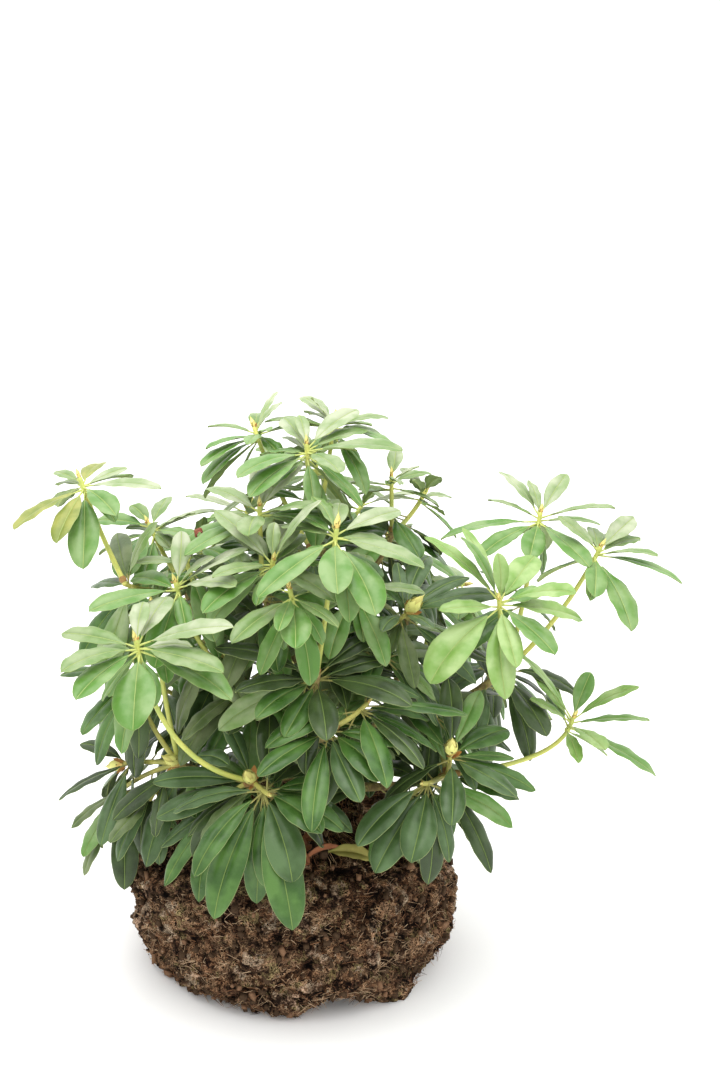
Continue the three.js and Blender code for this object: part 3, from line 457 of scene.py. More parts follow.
hairs = {"root_hairs": Heap(), "root_fringe": Heap()}
throw = dice(HAIR_SEED)
for k in range(HAIRS):
    spot, out = on_ball(throw)
    round_way = np.array([-out[1], out[0], 0.0]) * (1 if throw() < 0.5 else -1)
    fringe = k % 2
    onwards = round_way * (0.4 + throw()) + np.array([0, 0, throw() - 0.62])
    way = unit(onwards + out * (0.1 + (0.35 + 0.5 * fringe) * throw() ** 2))
    long = 4 + (19 - 9 * fringe) * throw() ** 2
    sway = np.array([throw() - 0.5, throw() - 0.5, throw() - 0.8]) * 0.9
    path = [spot - out * HAIR_ROOT]
    for _ in range(HAIR_STEPS):
        wander = np.array([throw() - 0.5 for _ in range(3)]) * HAIR_WANDER
        way = unit(way + sway / HAIR_STEPS + wander)
        path.append(path[-1] + way * long / HAIR_STEPS)
    path = np.array(path)
    reach = np.hypot(path[:, 0], path[:, 1])
    limit = ball_reach(np.clip(path[:, 2], 0, BALL_TOP)) + HAIR_REACH
    path[:, :2] *= np.minimum(1, limit / np.maximum(reach, 1))[:, None]
    path[:, 2] = np.clip(path[:, 2], HAIR_LOW, BALL_TOP + HAIR_HIGH)
    thick = HAIR_THICK * (0.6 + 0.9 * throw())
    tone = int(2.9 * throw() + 3.0 * crumble(spot[None], 34, 12)[0])
    thread = tube(path, np.linspace(thick, thick * 0.4, HAIR_STEPS + 1), 3)
    hairs["root_fringe" if fringe else "root_hairs"].add(*thread, min(2, max(0, tone)))

HAIR_TONES = {
    "dark_root": ((0.03, 0.014, 0.009), (0.12, 0.056, 0.03)),
    "brown_root": ((0.19, 0.085, 0.041), (0.42, 0.22, 0.115)),
    "pale_root": ((0.46, 0.29, 0.16), (0.82, 0.61, 0.4)),
}
hair_finishes = [mottled(name, *tones, 160.0, 2.0, Roughness=0.8, Specular_IOR_Level=0.1)
                 for name, tones in HAIR_TONES.items()]
for heap_name, heap in hairs.items():
    heap.piece(heap_name, hair_finishes, slot="peat")


# Trunk. A short stem of ridged grey-brown bark that flares into the root ball, as thick as a thumb, and
# leans a little to the front. Everything above forks from it.
TRUNK_FOOT, TRUNK_TOP = (0, 0, BALL_TOP + 0.3), (4, -3, 244)
FLARE, NECK, HEAD, NECK_AT = 20, 13.5, 11, 0.22  # its radii, and how far up it is at its narrowest
TRUNK_ENDS = (-0.09, 1.03)  # its bark runs on a little into the ball and into the forks
TRUNK_SIDES, TRUNK_STEPS, BARK_SIDES, BARK_STEP = 40, 46, 16, 2.6


def bend(start, end, arch):
    """The curve of a limb or shoot: a bend in the upright plane through both ends."""
    across, rise = (1 + arch) / 2, (1 - arch) / 2
    share = np.array([across, across, rise])
    return np.array([start, start + (end - start) * share, end])


def at(curve, t):
    t = np.asarray(t, float)[..., None]
    return (1 - t) ** 2 * curve[0] + 2 * (1 - t) * t * curve[1] + t ** 2 * curve[2]


def tangent(curve, t):
    return unit(2 * (1 - t) * (curve[1] - curve[0]) + 2 * t * (curve[2] - curve[1]))


def length(curve):
    return np.linalg.norm(np.diff(at(curve, np.linspace(0, 1, 201)), axis=0), axis=1).sum()


def bark_relief(path, sides, seed, depth, grain):
    """How far bark stands out round a limb: long ridges, with a swelling now and then."""
    along = np.concatenate([[0], np.cumsum(np.linalg.norm(np.diff(path, axis=0), axis=1))])
    around = all_round(sides)
    rows = []
    for s in along:
        up = s / grain + seed * 3.7
        ring = [noise.noise(Vector((2.2 * math.cos(a), 2.2 * math.sin(a), up))) for a in around]
        knot = noise.noise(Vector((seed * 1.3, 7.1, s / 11)))
        rows.append(1 + depth * np.array(ring) + depth * 0.8 * knot)
    return rows


bark = Finish("woody_bark", Roughness=0.85, Specular_IOR_Level=0.3)
patches, streaks = bark.speckle(90.0, 5.0, 0.6), bark.speckle(700.0, 4.0, 0.6, (1, 1, 0.25))
bark.set(Base_Color=bark.ramp(
    patches * 0.7 + streaks * 0.4, (0.35, (0.13, 0.084, 0.042)), (0.52, (0.28, 0.21, 0.091)),
    (0.64, (0.46, 0.38, 0.14)), (0.8, (0.59, 0.52, 0.31))))
bark.bump(streaks + patches * 0.5, 0.6, 0.0008)

foot, head = np.array(TRUNK_FOOT), np.array(TRUNK_TOP)
trunk_curve = np.array([foot, (foot + head) / 2, head])
t = np.linspace(*TRUNK_ENDS, TRUNK_STEPS)
path = at(trunk_curve, t)
low, high = np.clip(t / NECK_AT, 0, 1) ** 0.6, np.clip((t - NECK_AT) / (1 - NECK_AT), 0, 1)
radii = (FLARE + (NECK - FLARE) * low + (HEAD - NECK) * high) * np.where(t > 0.97, 0.8, 1.0)
trunk_wood = Heap()
relief = bark_relief(path, TRUNK_SIDES, seed=5, depth=0.16, grain=26)
trunk_wood.add(*tube(path, radii, TRUNK_SIDES, relief))
trunk_wood.piece("trunk_bark", [bark], "trunk", slot="bark")


# Boughs. Eighteen limbs of older wood, each as thick as a pencil at its root and tapering to the fork where
# its foliage stands. They leave the trunk low down, swollen where they join, and rise outwards.
# A row: what it grows from, how far along, its fork's turn, reach and height, its arch, and its radii.
LIMBS = {
    "left_middle": ("trunk", 0.83, (233, 100, 359), 0.2, (5.2, 4)),
    "left_high": ("left_middle", 0.55, (189, 135, 447), 0.1, (4.4, 3.3)),
    "front_left": ("trunk", 0.45, (256, 178, 284), 0.35, (5.5, 3.8)),
    "left_low": ("trunk", 0.62, (222, 172, 276), 0.3, (5.2, 3.6)),
    "front": ("trunk", 0.74, (278, 155, 398), 0.25, (5.2, 4)),
    "centre_left": ("top", 0.4, (243, 92, 462), 0.1, (4.4, 3.4)),
    "top": ("trunk", 1, (291, 26, 498), 0, (6, 4)),
    "right_crown": ("top", 0.55, (22, 107, 504), 0.3, (4.2, 3.4)),
    "centre_right": ("top", 0.28, (325, 92, 412), 0.3, (4.2, 3.3)),
    "front_low": ("front", 0.5, (281, 199, 354), 0.3, (4, 3.2)),
    "right_high": ("trunk", 0.85, (352, 238, 371), 0.25, (6.2, 4)),
    "right_low": ("trunk", 0.5, (327, 200, 272), 0.35, (5.6, 3.6)),
    "back_left_high": ("top", 0.2, (142, 120, 440), 0.3, (4.6, 3.4)),
    "back_left_low": ("trunk", 0.6, (145, 165, 270), 0.35, (5.2, 3.5)),
    "back": ("top", 0.48, (80, 105, 470), 0.2, (4.2, 3.3)),
    "back_low": ("trunk", 0.42, (95, 175, 278), 0.35, (5.2, 3.5)),
    "back_right_high": ("right_high", 0.36, (42, 170, 420), 0.1, (4.2, 3.3)),
    "back_right_low": ("trunk", 0.7, (42, 190, 285), 0.35, (5.2, 3.5)),
}
LIMB_SIDES, LIMB_STEPS, NODE_STEM, SEAT = 5, 3, 16, 0.3

curves = {"trunk": trunk_curve}
while len(curves) <= len(LIMBS):
    for name, (start, along, fork, arch, thick) in LIMBS.items():
        if start in curves:
            curves[name] = bend(at(curves[start], along), place(*fork), arch)

bough_wood = Heap()
for seed, (name, (*_, thick)) in enumerate(LIMBS.items()):
    long = length(curves[name])
    t = np.linspace(0, 1, int(long / BARK_STEP))
    path = at(curves[name], t)
    radii = between(thick, t) * (1 + 0.35 * np.exp(-t * long / 12))  # swollen at its root
    radii = radii * (1 + 0.12 * np.exp(-(1 - t) * long / 7))  # and a little at its fork
    relief = bark_relief(path, BARK_SIDES, seed, depth=0.13, grain=20)
    bough_wood.add(*tube(path, radii, BARK_SIDES, relief))
bough_wood.piece("boughs_bark", [bark], *["bough_" + name for name in LIMBS], slot="bark")


# Growth. Each bough ends in a fork with a ring of old leaves, and from it grow shoots that end in rings of
# their own. Leaves stand round a shoot's top at even turns, and one that would run into another is moved,
# shortened or left out.
BREATH, SEED = 1.2, 7919  # the air between leaves, and the seed of all growth
SHOOT_SIDES, SHOOT_STEPS, SHOOT_THICK = 3, 3, (3.2, 2.6)
LEAF_SECTIONS, LEAF_THICK, LEAF_RIB, LEAF_ROOT = ((0.17, 0.2), (0.4, 1), (0.8, 0.82)), 0.018, 0.6, 0.3
LEAF_BEND = (0.4, 1.2, 0.6)  # its droop at once, with the distance from its root, and how steep its root is
RING_TOP, RING_DEPTH, GOLDEN, LENGTHS = 1.5, 14, 0.382, (0.8, 0.16)
SMALL, SMALL_TURN, SMALL_LIFT, SMALL_SPREAD = dict(young=0.62, old=0.8), 20, 10, 1.2
SCATTER = dict(turn=24, lift=20, roll=30, droop=0.8, wide=0.3, long=0.12)
LIGHT, FACING, ALONG = dict(front=0.2, out=0.24, reach=150), 0.75, 0.3
# What a leaf that isn't clear tries in turn: a swing, a lift and a shorter blade.
TRIES = ((0, 0, 1), (6, 5, 1), (-6, -5, 0.97), (12, 9, 0.95), (-12, 8, 0.95), (0, 16, 0.9), (16, -10, 0.9),
         (-16, -12, 0.9), (8, 24, 0.86), (-8, -20, 0.86))
FLOWER_BUD_PLUMP, LEAF_BUD_PLUMP, FLOWER_BUD_FROM = 0.25, 0.2, 18
BUD_SECTIONS = ((-0.12, 0.42), (0.3, 1), (0.62, 0.86))
YOUNG = dict(kind="young", wide=0.34, spread=74, droop=16, bud=11)
OLD = dict(kind="old", wide=0.285, spread=56, droop=20, bud=0)


def ring_maker(age):
    """Writes a ring down: how many leaves fill it, the lowest one's turn, the longest one's length, their
    lift and its seed, then its shoot's tip and arch, and the leaves that go their own way."""
    def ring_row(leaves, first, long, lift, seed, tip=None, given=(), **more):
        return {**age, **more, "leaves": leaves, "first": first, "long": long, "lift": lift, "seed": seed,
                "end": tip, "given": given}
    return ring_row


old_ring, young_ring = ring_maker(OLD), ring_maker(YOUNG)
# The rings of each bough's foliage, the one at its fork first. A given leaf has its turn, its lift and its
# length, and its width as a share of that where it isn't the ring's.
MASSES = {
    "front_left": [
        old_ring(6, 286, 120, -14, 3, bud=26, given=[
            (230, -30, 104, 0.3), (213, -27, 92, 0.2), (196, -16, 109, 0.32), (351, 41, 82, 0.3)]),
        young_ring(1, 262, 96, -18, 14, (236, 278, 454, 0.62), spread=56, given=[
            (274, -32, 96, 0.48), (328, -21, 112, 0.34), (145, -19, 84), (240, -14, 98), (220, -7, 92),
            (330, -2, 104, 0.34), (162, 2, 86), (351, 16, 102), (78, 16, 92, 0.36)]),
        old_ring(2, 254, 126, -17, 4, (264, 216, 288, 0.3), bud=9, given=[
            (299, -58, 145, 0.3), (313, -55, 106, 0.42), (237, -55, 139, 0.28), (228, -34, 116, 0.24),
            (25, -20, 84, 0.34), (319, -13, 84, 0.42), (20, -1, 88, 0.26)])],
    "left_middle": [
        old_ring(4, 208, 120, -6, 5, given=[(228, -20, 100, 0.26), (255, -20, 84, 0.34)]),
        young_ring(4, 166, 98, -12, 6, (225, 183, 485, 0.42), given=[
            (146, -12, 90), (217, -4, 104), (321, 13, 88), (84, 21, 80)]),
        young_ring(7, 337, 98, -29, 7, (217, 154, 500, 0.2)),
        old_ring(7, 250, 116, -30, 7, (222, 128, 408, 0.3))],
    "left_high": [
        old_ring(7, 272, 118, -22, 6),
        young_ring(3, 268, 94, -3, 3, (174, 180, 510, 0.1), spread=50, given=[
            (155, -26, 84), (255, -21, 92, 0.44), (310, -16, 40, 0.5), (327, 0, 72, 0.4), (80, 18, 70)]),
        old_ring(5, 187, 120, -15, 7, (208, 213, 473, 0.3)),
        young_ring(2, 290, 94, -19, 5, (194, 249, 578, 0.1), start=1, spread=40, given=[
            (279, -39, 104, 0.36), (259, -28, 88), (236, -28, 98), (306, -11, 80, 0.36), (125, -10, 70),
            (341, -7, 92), (60, -4, 84), (83, 6, 76)])],
    "left_low": [
        old_ring(6, 185, 120, -10, 11, bud=24, given=[
            (228, -32, 98, 0.28), (199, -17, 110, 0.28), (186, 12, 105, 0.3)]),
        young_ring(8, 220, 98, -9, 3, (214, 190, 452, 0.2), spread=56),
        old_ring(4, 267, 120, -49, 21, (206, 205, 372, 0.3), given=[
            (242, -21, 96, 0.3), (163, -6, 90, 0.26)]),
        old_ring(5, 186, 118, -36, 14, (203, 210, 258, 0.3), bud=24, given=[
            (203, -22, 89, 0.28), (151, 6, 70, 0.3)]),
        old_ring(5, 212, 114, -43, 10, (197, 214, 212, 0.2), bud=8, given=[
            (234, -53, 105, 0.24), (226, -49, 94, 0.3), (208, -31, 71, 0.3), (262, -26, 80, 0.24)])],
    "front": [
        old_ring(4, 268, 116, -10, 3, given=[
            (248, -25, 84, 0.34), (274, -25, 92, 0.36), (236, -22, 114, 0.28), (30, -6, 104, 0.26),
            (330, -2, 116, 0.34), (213, -1, 104, 0.3), (171, 12, 114, 0.26), (38, 19, 104, 0.26)]),
        young_ring(2, 278, 98, -9, 3, (285, 145, 552, 0.1), spread=56, bud=16, given=[
            (300, -32, 104, 0.4), (274, -23, 88, 0.42), (224, -23, 112, 0.3), (333, -9, 104, 0.34),
            (137, -3, 80), (128, 5, 60), (39, 10, 88), (88, 17, 64, 0.36)]),
        young_ring(4, 314, 98, -30, 7, (267, 160, 492, 0.2), given=[
            (276, -20, 82, 0.42), (233, -16, 96, 0.3), (304, -13, 78, 0.24), (263, -10, 76, 0.26)])],
    "centre_left": [
        old_ring(8, 230, 112, -5, 8),
        young_ring(5, 226, 98, 6, 5, (258, 132, 514, 0.3), given=[
            (228, -18, 102, 0.32), (224, 0, 80, 0.28), (114, 5, 76, 0.4), (71, 13, 80, 0.44)]),
        young_ring(4, 255, 98, -3, 4, (236, 84, 556, 0.1), given=[
            (144, -29, 94), (216, -19, 98), (266, -3, 78, 0.4), (326, 3, 92), (143, 10, 80, 0.36),
            (41, 23, 88)])],
    "top": [
        old_ring(8, 231, 120, -6, 12),
        young_ring(2, 274, 100, -13, 12, (270, 22, 616, 0), spread=66, given=[
            (36, -51, 100, 0.3), (325, -30, 88, 0.24), (230, -21, 96), (134, -12, 80), (221, -10, 96),
            (297, -4, 84, 0.38), (347, 5, 108), (34, 11, 84), (114, 17, 76, 0.38), (50, 22, 92)]),
        young_ring(4, 300, 84, -13, 12, (65, 66, 629, 0.2), spread=50, bud=14, given=[
            (332, -7, 78), (153, -2, 92), (33, 4, 76), (323, 9, 56, 0.36), (132, 22, 64, 0.46)]),
        young_ring(2, 176, 92, -5, 12, (126, 112, 612, 0.2), spread=60, bud=14, given=[
            (219, -32, 90, 0.36), (214, -24, 84), (204, -17, 74), (253, -9, 66), (286, -7, 68, 0.36),
            (156, 1, 66), (108, 26, 56, 0.4), (72, 28, 78, 0.14)])],
    "right_crown": [
        old_ring(9, 310, 116, -31, 9, spread=70),
        young_ring(6, 150, 62, 5, 4, (32, 113, 566, 0.1), spread=40),
        young_ring(6, 354, 62, 7, 4, (27, 154, 549, 0.25), spread=50)],
    "centre_right": [
        old_ring(9, 309, 118, -22, 1),
        old_ring(4, 258, 116, -19, 5, (323, 146, 450, 0.3), bud=28, given=[
            (246, -2, 60, 0.3), (65, 9, 80, 0.36), (301, 9, 70, 0.3), (355, 15, 106, 0.36),
            (34, 19, 92, 0.24)]),
        young_ring(9, 268, 92, -20, 4, (300, 108, 478, 0.1)),
        old_ring(8, 229, 104, -31, 4, (310, 150, 400, 0.4))],
    "front_low": [
        old_ring(4, 174, 114, -5, 4, given=[
            (30, -31, 70, 0.3), (311, -16, 90, 0.4), (224, -14, 98, 0.28), (330, 6, 96, 0.3),
            (56, 13, 66, 0.3)]),
        old_ring(7, 248, 118, -7, 6, (294, 186, 374, 0.3), bud=8, given=[
            (316, -21, 100, 0.28), (29, -16, 90, 0.3)])],
    "right_high": [
        old_ring(9, 269, 118, -19, 8, given=[(301, -26, 100, 0.4)]),
        young_ring(2, 270, 102, -21, 11, (4, 266, 539, 0.1), spread=72, given=[
            (311, -23, 108, 0.34), (217, -19, 94, 0.3), (263, -15, 80, 0.38), (190, -10, 116, 0.24),
            (24, -7, 84, 0.24), (145, 9, 70, 0.2), (341, 14, 88, 0.28), (128, 28, 82, 0.3),
            (57, 31, 74, 0.32)]),
        young_ring(3, 264, 104, 3, 11, (328, 247, 480, 0.2), spread=56, given=[
            (217, -37, 114, 0.42), (280, -28, 88, 0.3), (301, -23, 92, 0.36), (70, 5, 86, 0.34),
            (328, 17, 90, 0.36), (60, 20, 92, 0.38), (153, 32, 106, 0.2), (116, 36, 96, 0.18)]),
        young_ring(0, 324, 104, -9, 1, (353, 329, 516, 0.2), spread=50, given=[
            (291, -33, 106, 0.34), (146, -31, 80, 0.36), (257, -25, 76, 0.36), (325, -7, 104, 0.28),
            (322, -6, 84, 0.32), (38, 6, 70, 0.28), (90, 15, 56, 0.36), (115, 17, 64, 0.26),
            (48, 22, 74, 0.36)])],
    "right_low": [
        old_ring(7, 262, 118, -11, 4, given=[(52, -77, 92, 0.28), (316, -46, 110, 0.3)]),
        young_ring(0, 354, 96, -5, 7, (347, 313, 327, 0.9), spread=44, given=[
            (339, -21, 111, 0.24), (301, -5, 66, 0.46), (351, 8, 89, 0.22), (121, 26, 88, 0.32),
            (1, 30, 85, 0.26), (60, 41, 64, 0.36), (176, 49, 96, 0.26)]),
        old_ring(7, 314, 112, -23, 1, (330, 172, 345, 0.2)),
        old_ring(3, 255, 106, -21, 4, (316, 230, 318, 0.3), bud=26, given=[
            (270, -30, 86, 0.34), (27, -25, 84, 0.3), (314, -8, 96, 0.34), (43, 5, 92, 0.38),
            (123, 21, 92, 0.36), (60, 38, 84, 0.3), (93, 46, 88, 0.3)]),
        old_ring(5, 280, 112, -24, 5, (308, 222, 288, 0.3), bud=8, given=[
            (229, -43, 112, 0.36), (251, -42, 94, 0.42), (133, -33, 70, 0.34)])],
    "back_left_high": [
        old_ring(6, 174, 118, -39, 2),
        young_ring(7, 99, 98, 6, 2, (155, 140, 478, 0.2)),
        young_ring(7, 70, 86, -3, 3, (120, 150, 505, 0.2), bud=20)],
    "back_left_low": [
        old_ring(6, 168, 114, -39, 2),
        old_ring(6, 170, 104, -31, 2, (162, 215, 330, 0.4), bud=22),
        young_ring(7, 128, 98, -11, 2, (132, 225, 390, 0.5))],
    "back": [
        old_ring(5, 80, 118, -22, 7),
        young_ring(7, 43, 98, -3, 4, (88, 150, 562, 0.2)),
        young_ring(7, 102, 92, -3, 2, (72, 205, 500, 0.4))],
    "back_low": [
        old_ring(6, 85, 112, -39, 2, bud=24),
        young_ring(7, 105, 92, -11, 5, (103, 255, 415, 0.5)),
        old_ring(6, 80, 114, -31, 0, (84, 240, 285, 0.3), bud=8)],
    "back_right_high": [
        old_ring(5, 60, 118, -22, 2),
        young_ring(7, 28, 92, -11, 10, (58, 180, 470, 0.2)),
        young_ring(7, 6, 98, -37, 14, (30, 220, 425, 0.3))],
    "back_right_low": [
        old_ring(6, 96, 120, -23, 2),
        young_ring(7, 55, 98, -28, 2, (50, 240, 385, 0.5)),
        old_ring(7, 7, 104, -39, 1, (24, 250, 330, 0.4), bud=22)],
}
# Old leaves left along the wood: how far along and how many, their length and lift, and how far behind the
# trunk this year's shoots have them too.
INNER, INNER_LONG, INNER_LIFT, INNER_BEHIND = ((0.5, 4), (0.72, 5), (0.9, 5)), 92, -18, -40
# Short side shoots low in the crown that end in a few hanging leaves: the fork each grows from, its tip and
# arch, and its leaves.
SIDE_SHOOTS = [
    ("front_left", (244, 183, 250, 0.2), [
        (221, -46, 113, 0.22), (229, -51, 126, 0.24), (208, -34, 96, 0.3), (253, -21, 70, 0.3),
        (284, -35, 84, 0.24)]),
    ("left_low", (217, 198, 233, 0.2), [
        (228, -51, 89, 0.3), (266, -52, 92, 0.28), (233, -26, 80, 0.3), (291, -31, 78, 0.28)]),
    ("right_low", (308, 190, 257, 0.2), [
        (241, -15, 78, 0.3), (287, -41, 84, 0.3), (257, -40, 76, 0.3)]),
    ("front", (272, 150, 378, 0.3), [
        (242, -25, 84, 0.28), (292, -29, 84, 0.28)]),
]


def tube_rings(curve, t0, t1, thick, sides, steps):
    """The rings of a tapering tube along a curve."""
    flat = (curve[2] - curve[0]) * (1, 1, 0)
    side = np.array([0.0, 1, 0]) if np.linalg.norm(flat) < 1e-6 else unit(np.array([-flat[1], flat[0], 0]))
    around = all_round(sides)
    rings = []
    for share in np.arange(steps + 1) / steps:
        t, r = t0 + (t1 - t0) * share, between(thick, share)
        other = unit(-np.cross(side, tangent(curve, t)))
        across, upwards = r * np.cos(around)[:, None] * side, r * np.sin(around)[:, None] * other
        rings.append(at(curve, t) + across - upwards)
    return rings


def grown(rings, margin):
    """The same rings, larger by a margin."""
    made = []
    for ring in rings:
        centre = ring.mean(0)
        out = ring - centre
        reach = np.maximum(np.linalg.norm(out, axis=1), 1e-6)[:, None]
        made.append(centre + out * (1 + margin / reach))
    return made


shapes = {}


def loft_shape(sizes):
    """Faces and edges of a closed body through rings of these sizes."""
    if sizes not in shapes:
        starts = np.concatenate([[0], np.cumsum(sizes)])
        faces = []
        for k in range(1, len(sizes)):
            low, high = starts[k - 1], starts[k]
            n = max(sizes[k - 1], sizes[k])
            for i in range(n):
                j = (i + 1) % n
                if sizes[k] == 1:
                    faces.append((low + i, low + j, high))
                elif sizes[k - 1] == 1:
                    faces.append((low, high + j, high + i))
                else:
                    faces += [(low + i, low + j, high + j), (low + i, high + j, high + i)]
        last = starts[-2]
        faces += [(0, i + 1, i) for i in range(1, sizes[0] - 1)]
        faces += [(last, last + i, last + i + 1) for i in range(1, sizes[-1] - 1)]
        edges = sorted({tuple(sorted((f[i], f[(i + 1) % 3]))) for f in faces for i in range(3)})
        shapes[sizes] = (np.array(faces), np.array(edges))
    return shapes[sizes]


class Body:
    """A closed body, ready for the test whether it meets another."""

    def __init__(self, rings):
        faces, edges = loft_shape(tuple(len(ring) for ring in rings))
        self.points = np.concatenate(rings)
        self.start = self.points[edges[:, 0]]
        self.way = self.points[edges[:, 1]] - self.start
        self.corner = self.points[faces[:, 0]]
        self.one = self.points[faces[:, 1]] - self.corner
        self.two = self.points[faces[:, 2]] - self.corner
        self.low, self.high = self.points.min(0), self.points.max(0)


def edge_hits(a, b):
    """Whether an edge of one body runs through a face of the other."""
    way, two = a.way[:, None], b.two[None]
    h = np.cross(way, two)
    det = (b.one[None] * h).sum(-1)
    flat = np.abs(det) < 1e-9
    det = np.where(flat, 1, det)
    s = a.start[:, None] - b.corner[None]
    u = (s * h).sum(-1) / det
    q = np.cross(s, b.one[None])
    v = (way * q).sum(-1) / det
    t = (two * q).sum(-1) / det
    return bool((~flat & (u >= 0) & (u <= 1) & (v >= 0) & (u + v <= 1) & (t >= 0) & (t <= 1)).any())


class Standing:
    """Everything that leaves keep clear of."""

    def __init__(self):
        self.bodies, self.boxes = [], np.zeros((0, 6))

    def add(self, owner, whole, blade=None):
        blade = blade or whole
        low, high = np.minimum(whole.low, blade.low), np.maximum(whole.high, blade.high)
        self.bodies.append((owner, whole, blade))
        self.boxes = np.vstack([self.boxes, [*low, *high]])

    def blocks(self, owner, whole, blade):
        near = (self.boxes[:, :3] <= whole.high).all(1) & (self.boxes[:, 3:] >= whole.low).all(1)
        for k in np.flatnonzero(near):
            other, its_whole, its_blade = self.bodies[k]
            mine, its = (blade, its_blade) if other == owner else (whole, its_whole)
            if (mine.low <= its.high).all() and (mine.high >= its.low).all():
                if edge_hits(mine, its) or edge_hits(its, mine):
                    return True
        return False


def headings(turn):
    """The level ways along a leaf's turn and across it."""
    level = place(turn, 1.0, 0.0)
    return level, np.array([-level[1], level[0], 0])


def leaf_frame(leaf, s):
    """The midrib's way, and the leaf's side and upper face, at shares s of its length."""
    level, across = headings(leaf["turn"])
    droop = leaf["droop"] * (LEAF_BEND[2] - s * (LEAF_BEND[0] + LEAF_BEND[1] * s))
    slope = np.radians(leaf["lift"] + droop)
    along = np.cos(slope)[:, None] * level + np.sin(slope)[:, None] * UP
    upright = np.cross(along, across)
    tilt = np.radians(leaf["roll"] + leaf.get("twist", 0) * (s - 0.4))[:, None]
    side = across * np.cos(tilt) + upright * np.sin(tilt)
    return along, side, upright * np.cos(tilt) - across * np.sin(tilt)


def leaf_rings(leaf, margin):
    level = place(leaf["turn"], 1.0, 0.0)
    half, thick = leaf["long"] * leaf["wide"] / 2, leaf["long"] * LEAF_THICK
    shares = np.array([share for share, _ in LEAF_SECTIONS] + [1.0])
    steps = np.diff(np.concatenate([[0], shares]))
    along, side, face = leaf_frame(leaf, shares - steps / 2)
    centre = leaf["root"] + np.cumsum(along * (leaf["long"] * steps)[:, None], axis=0)
    rings = [(leaf["root"] + level * LEAF_ROOT)[None]]
    for k, (_, width) in enumerate(LEAF_SECTIONS):
        out, rise = side[k] * (half * width + margin), face[k] * (thick * (1 - LEAF_RIB) + margin / 2)
        keel = centre[k] - face[k] * (thick * LEAF_RIB + margin)
        rings.append(np.array([centre[k] + out + rise, centre[k] - out + rise, keel]))
    return [*rings, (centre[-1] + along[-1] * margin)[None]]


def bud_plump(long):
    return long * (FLOWER_BUD_PLUMP if long > FLOWER_BUD_FROM else LEAF_BUD_PLUMP)


def bud_rings(tip, axis, long):
    side = unit(np.array([1.0, 0, 0]) - axis * axis[0])
    a = np.pi * np.arange(4) / 2
    out = np.cos(a)[:, None] * side + np.sin(a)[:, None] * np.cross(axis, side)
    rings = [tip + axis * share * long + out * bud_plump(long) * width for share, width in BUD_SECTIONS]
    return [*rings, (tip + axis * long)[None]]


def ring_light(ring):
    """Where the light comes from for a ring: from above, from outside and along its shoot."""
    out = ring["tip"] * (1, 1, 0)
    reach = np.linalg.norm(out)
    light = UP + out / reach * LIGHT["out"] * min(1, reach / LIGHT["reach"])
    light[1] -= LIGHT["front"]
    return unit(light + ring["axis"] * ALONG)


def face_roll(turn, lift, light):
    """How far a leaf has to roll about its midrib to face the light."""
    level, across = headings(turn)
    slope = math.radians(lift)
    upright = np.cross(level * math.cos(slope) + UP * math.sin(slope), across)
    return -math.degrees(math.atan2(light @ across, light @ upright))


def inside_ball(points):
    low = points[points[:, 2] <= BALL_TOP + 1]
    turn = np.degrees(np.arctan2(low[:, 1], low[:, 0]))
    skin = ball_reach(low[:, 2]) + ball_lump(turn, low[:, 2]) + BALL_SKIN
    return bool(((low[:, 2] < 1) | (np.hypot(low[:, 0], low[:, 1]) < skin)).any())


def set_leaf(ring, turn, lift, droop, long, wide, roll, order):
    """Sets a leaf on its ring, moved or shortened until it is clear of what stands, or leaves it out."""
    root = ring["tip"] - ring["axis"] * (RING_TOP + RING_DEPTH * order)
    for swing, raised, shrink in TRIES:
        leaf = dict(root=root, turn=turn + swing, lift=lift + raised, droop=droop, long=long * shrink,
                    wide=wide, roll=roll, ring=ring)
        rings = leaf_rings(leaf, BREATH)
        whole, blade = Body(rings), Body(rings[1:])
        if not inside_ball(whole.points) and not standing.blocks(ring["id"], whole, blade):
            leaves.append(leaf)
            standing.add(ring["id"], whole, blade)
            return


def given_leaves(ring):
    light = ring_light(ring)
    for turn, lift, long, *wide in ring["given"]:
        roll = FACING * face_roll(turn, lift, light)
        order = min(1, max(0, 0.5 - lift / 90))
        set_leaf(ring, turn, lift, ring["droop"], long, *(wide or [ring["wide"]]), roll, order)


def ring_leaves(ring, throw):
    light = ring_light(ring)
    for i in range(ring["leaves"]):
        order = 1 - (i * GOLDEN) % 1
        turn = ring["first"] + 360 * i / ring["leaves"] + (throw() - 0.5) * SCATTER["turn"]
        slope = math.degrees(math.asin(light @ place(turn, 1.0, 0.0)))
        lift = ring["lift"] + ring["spread"] * (0.5 - order) + (throw() - 0.5) * SCATTER["lift"] - slope
        droop = ring["droop"] * (1 + (throw() - 0.5) * SCATTER["droop"])
        long = ring["long"] * (LENGTHS[0] + LENGTHS[1] * order + SCATTER["long"] * throw())
        wide = ring["wide"] * (1 + (throw() - 0.5) * SCATTER["wide"])
        roll = FACING * face_roll(turn, lift, light) + (throw() - 0.5) * SCATTER["roll"]
        set_leaf(ring, turn, lift, droop, long, wide, roll, order)


def sprout(base, shoot):
    """A shoot that starts just below the tip of the ring it grows from."""
    tip = place(*shoot["end"][:3])
    curve = bend(base["tip"] - base["axis"] * 2, tip, shoot["end"][3])
    return {**shoot, "tip": tip, "axis": unit(tip - at(curve, 1 - 1 / SHOOT_STEPS)), "curve": curve}


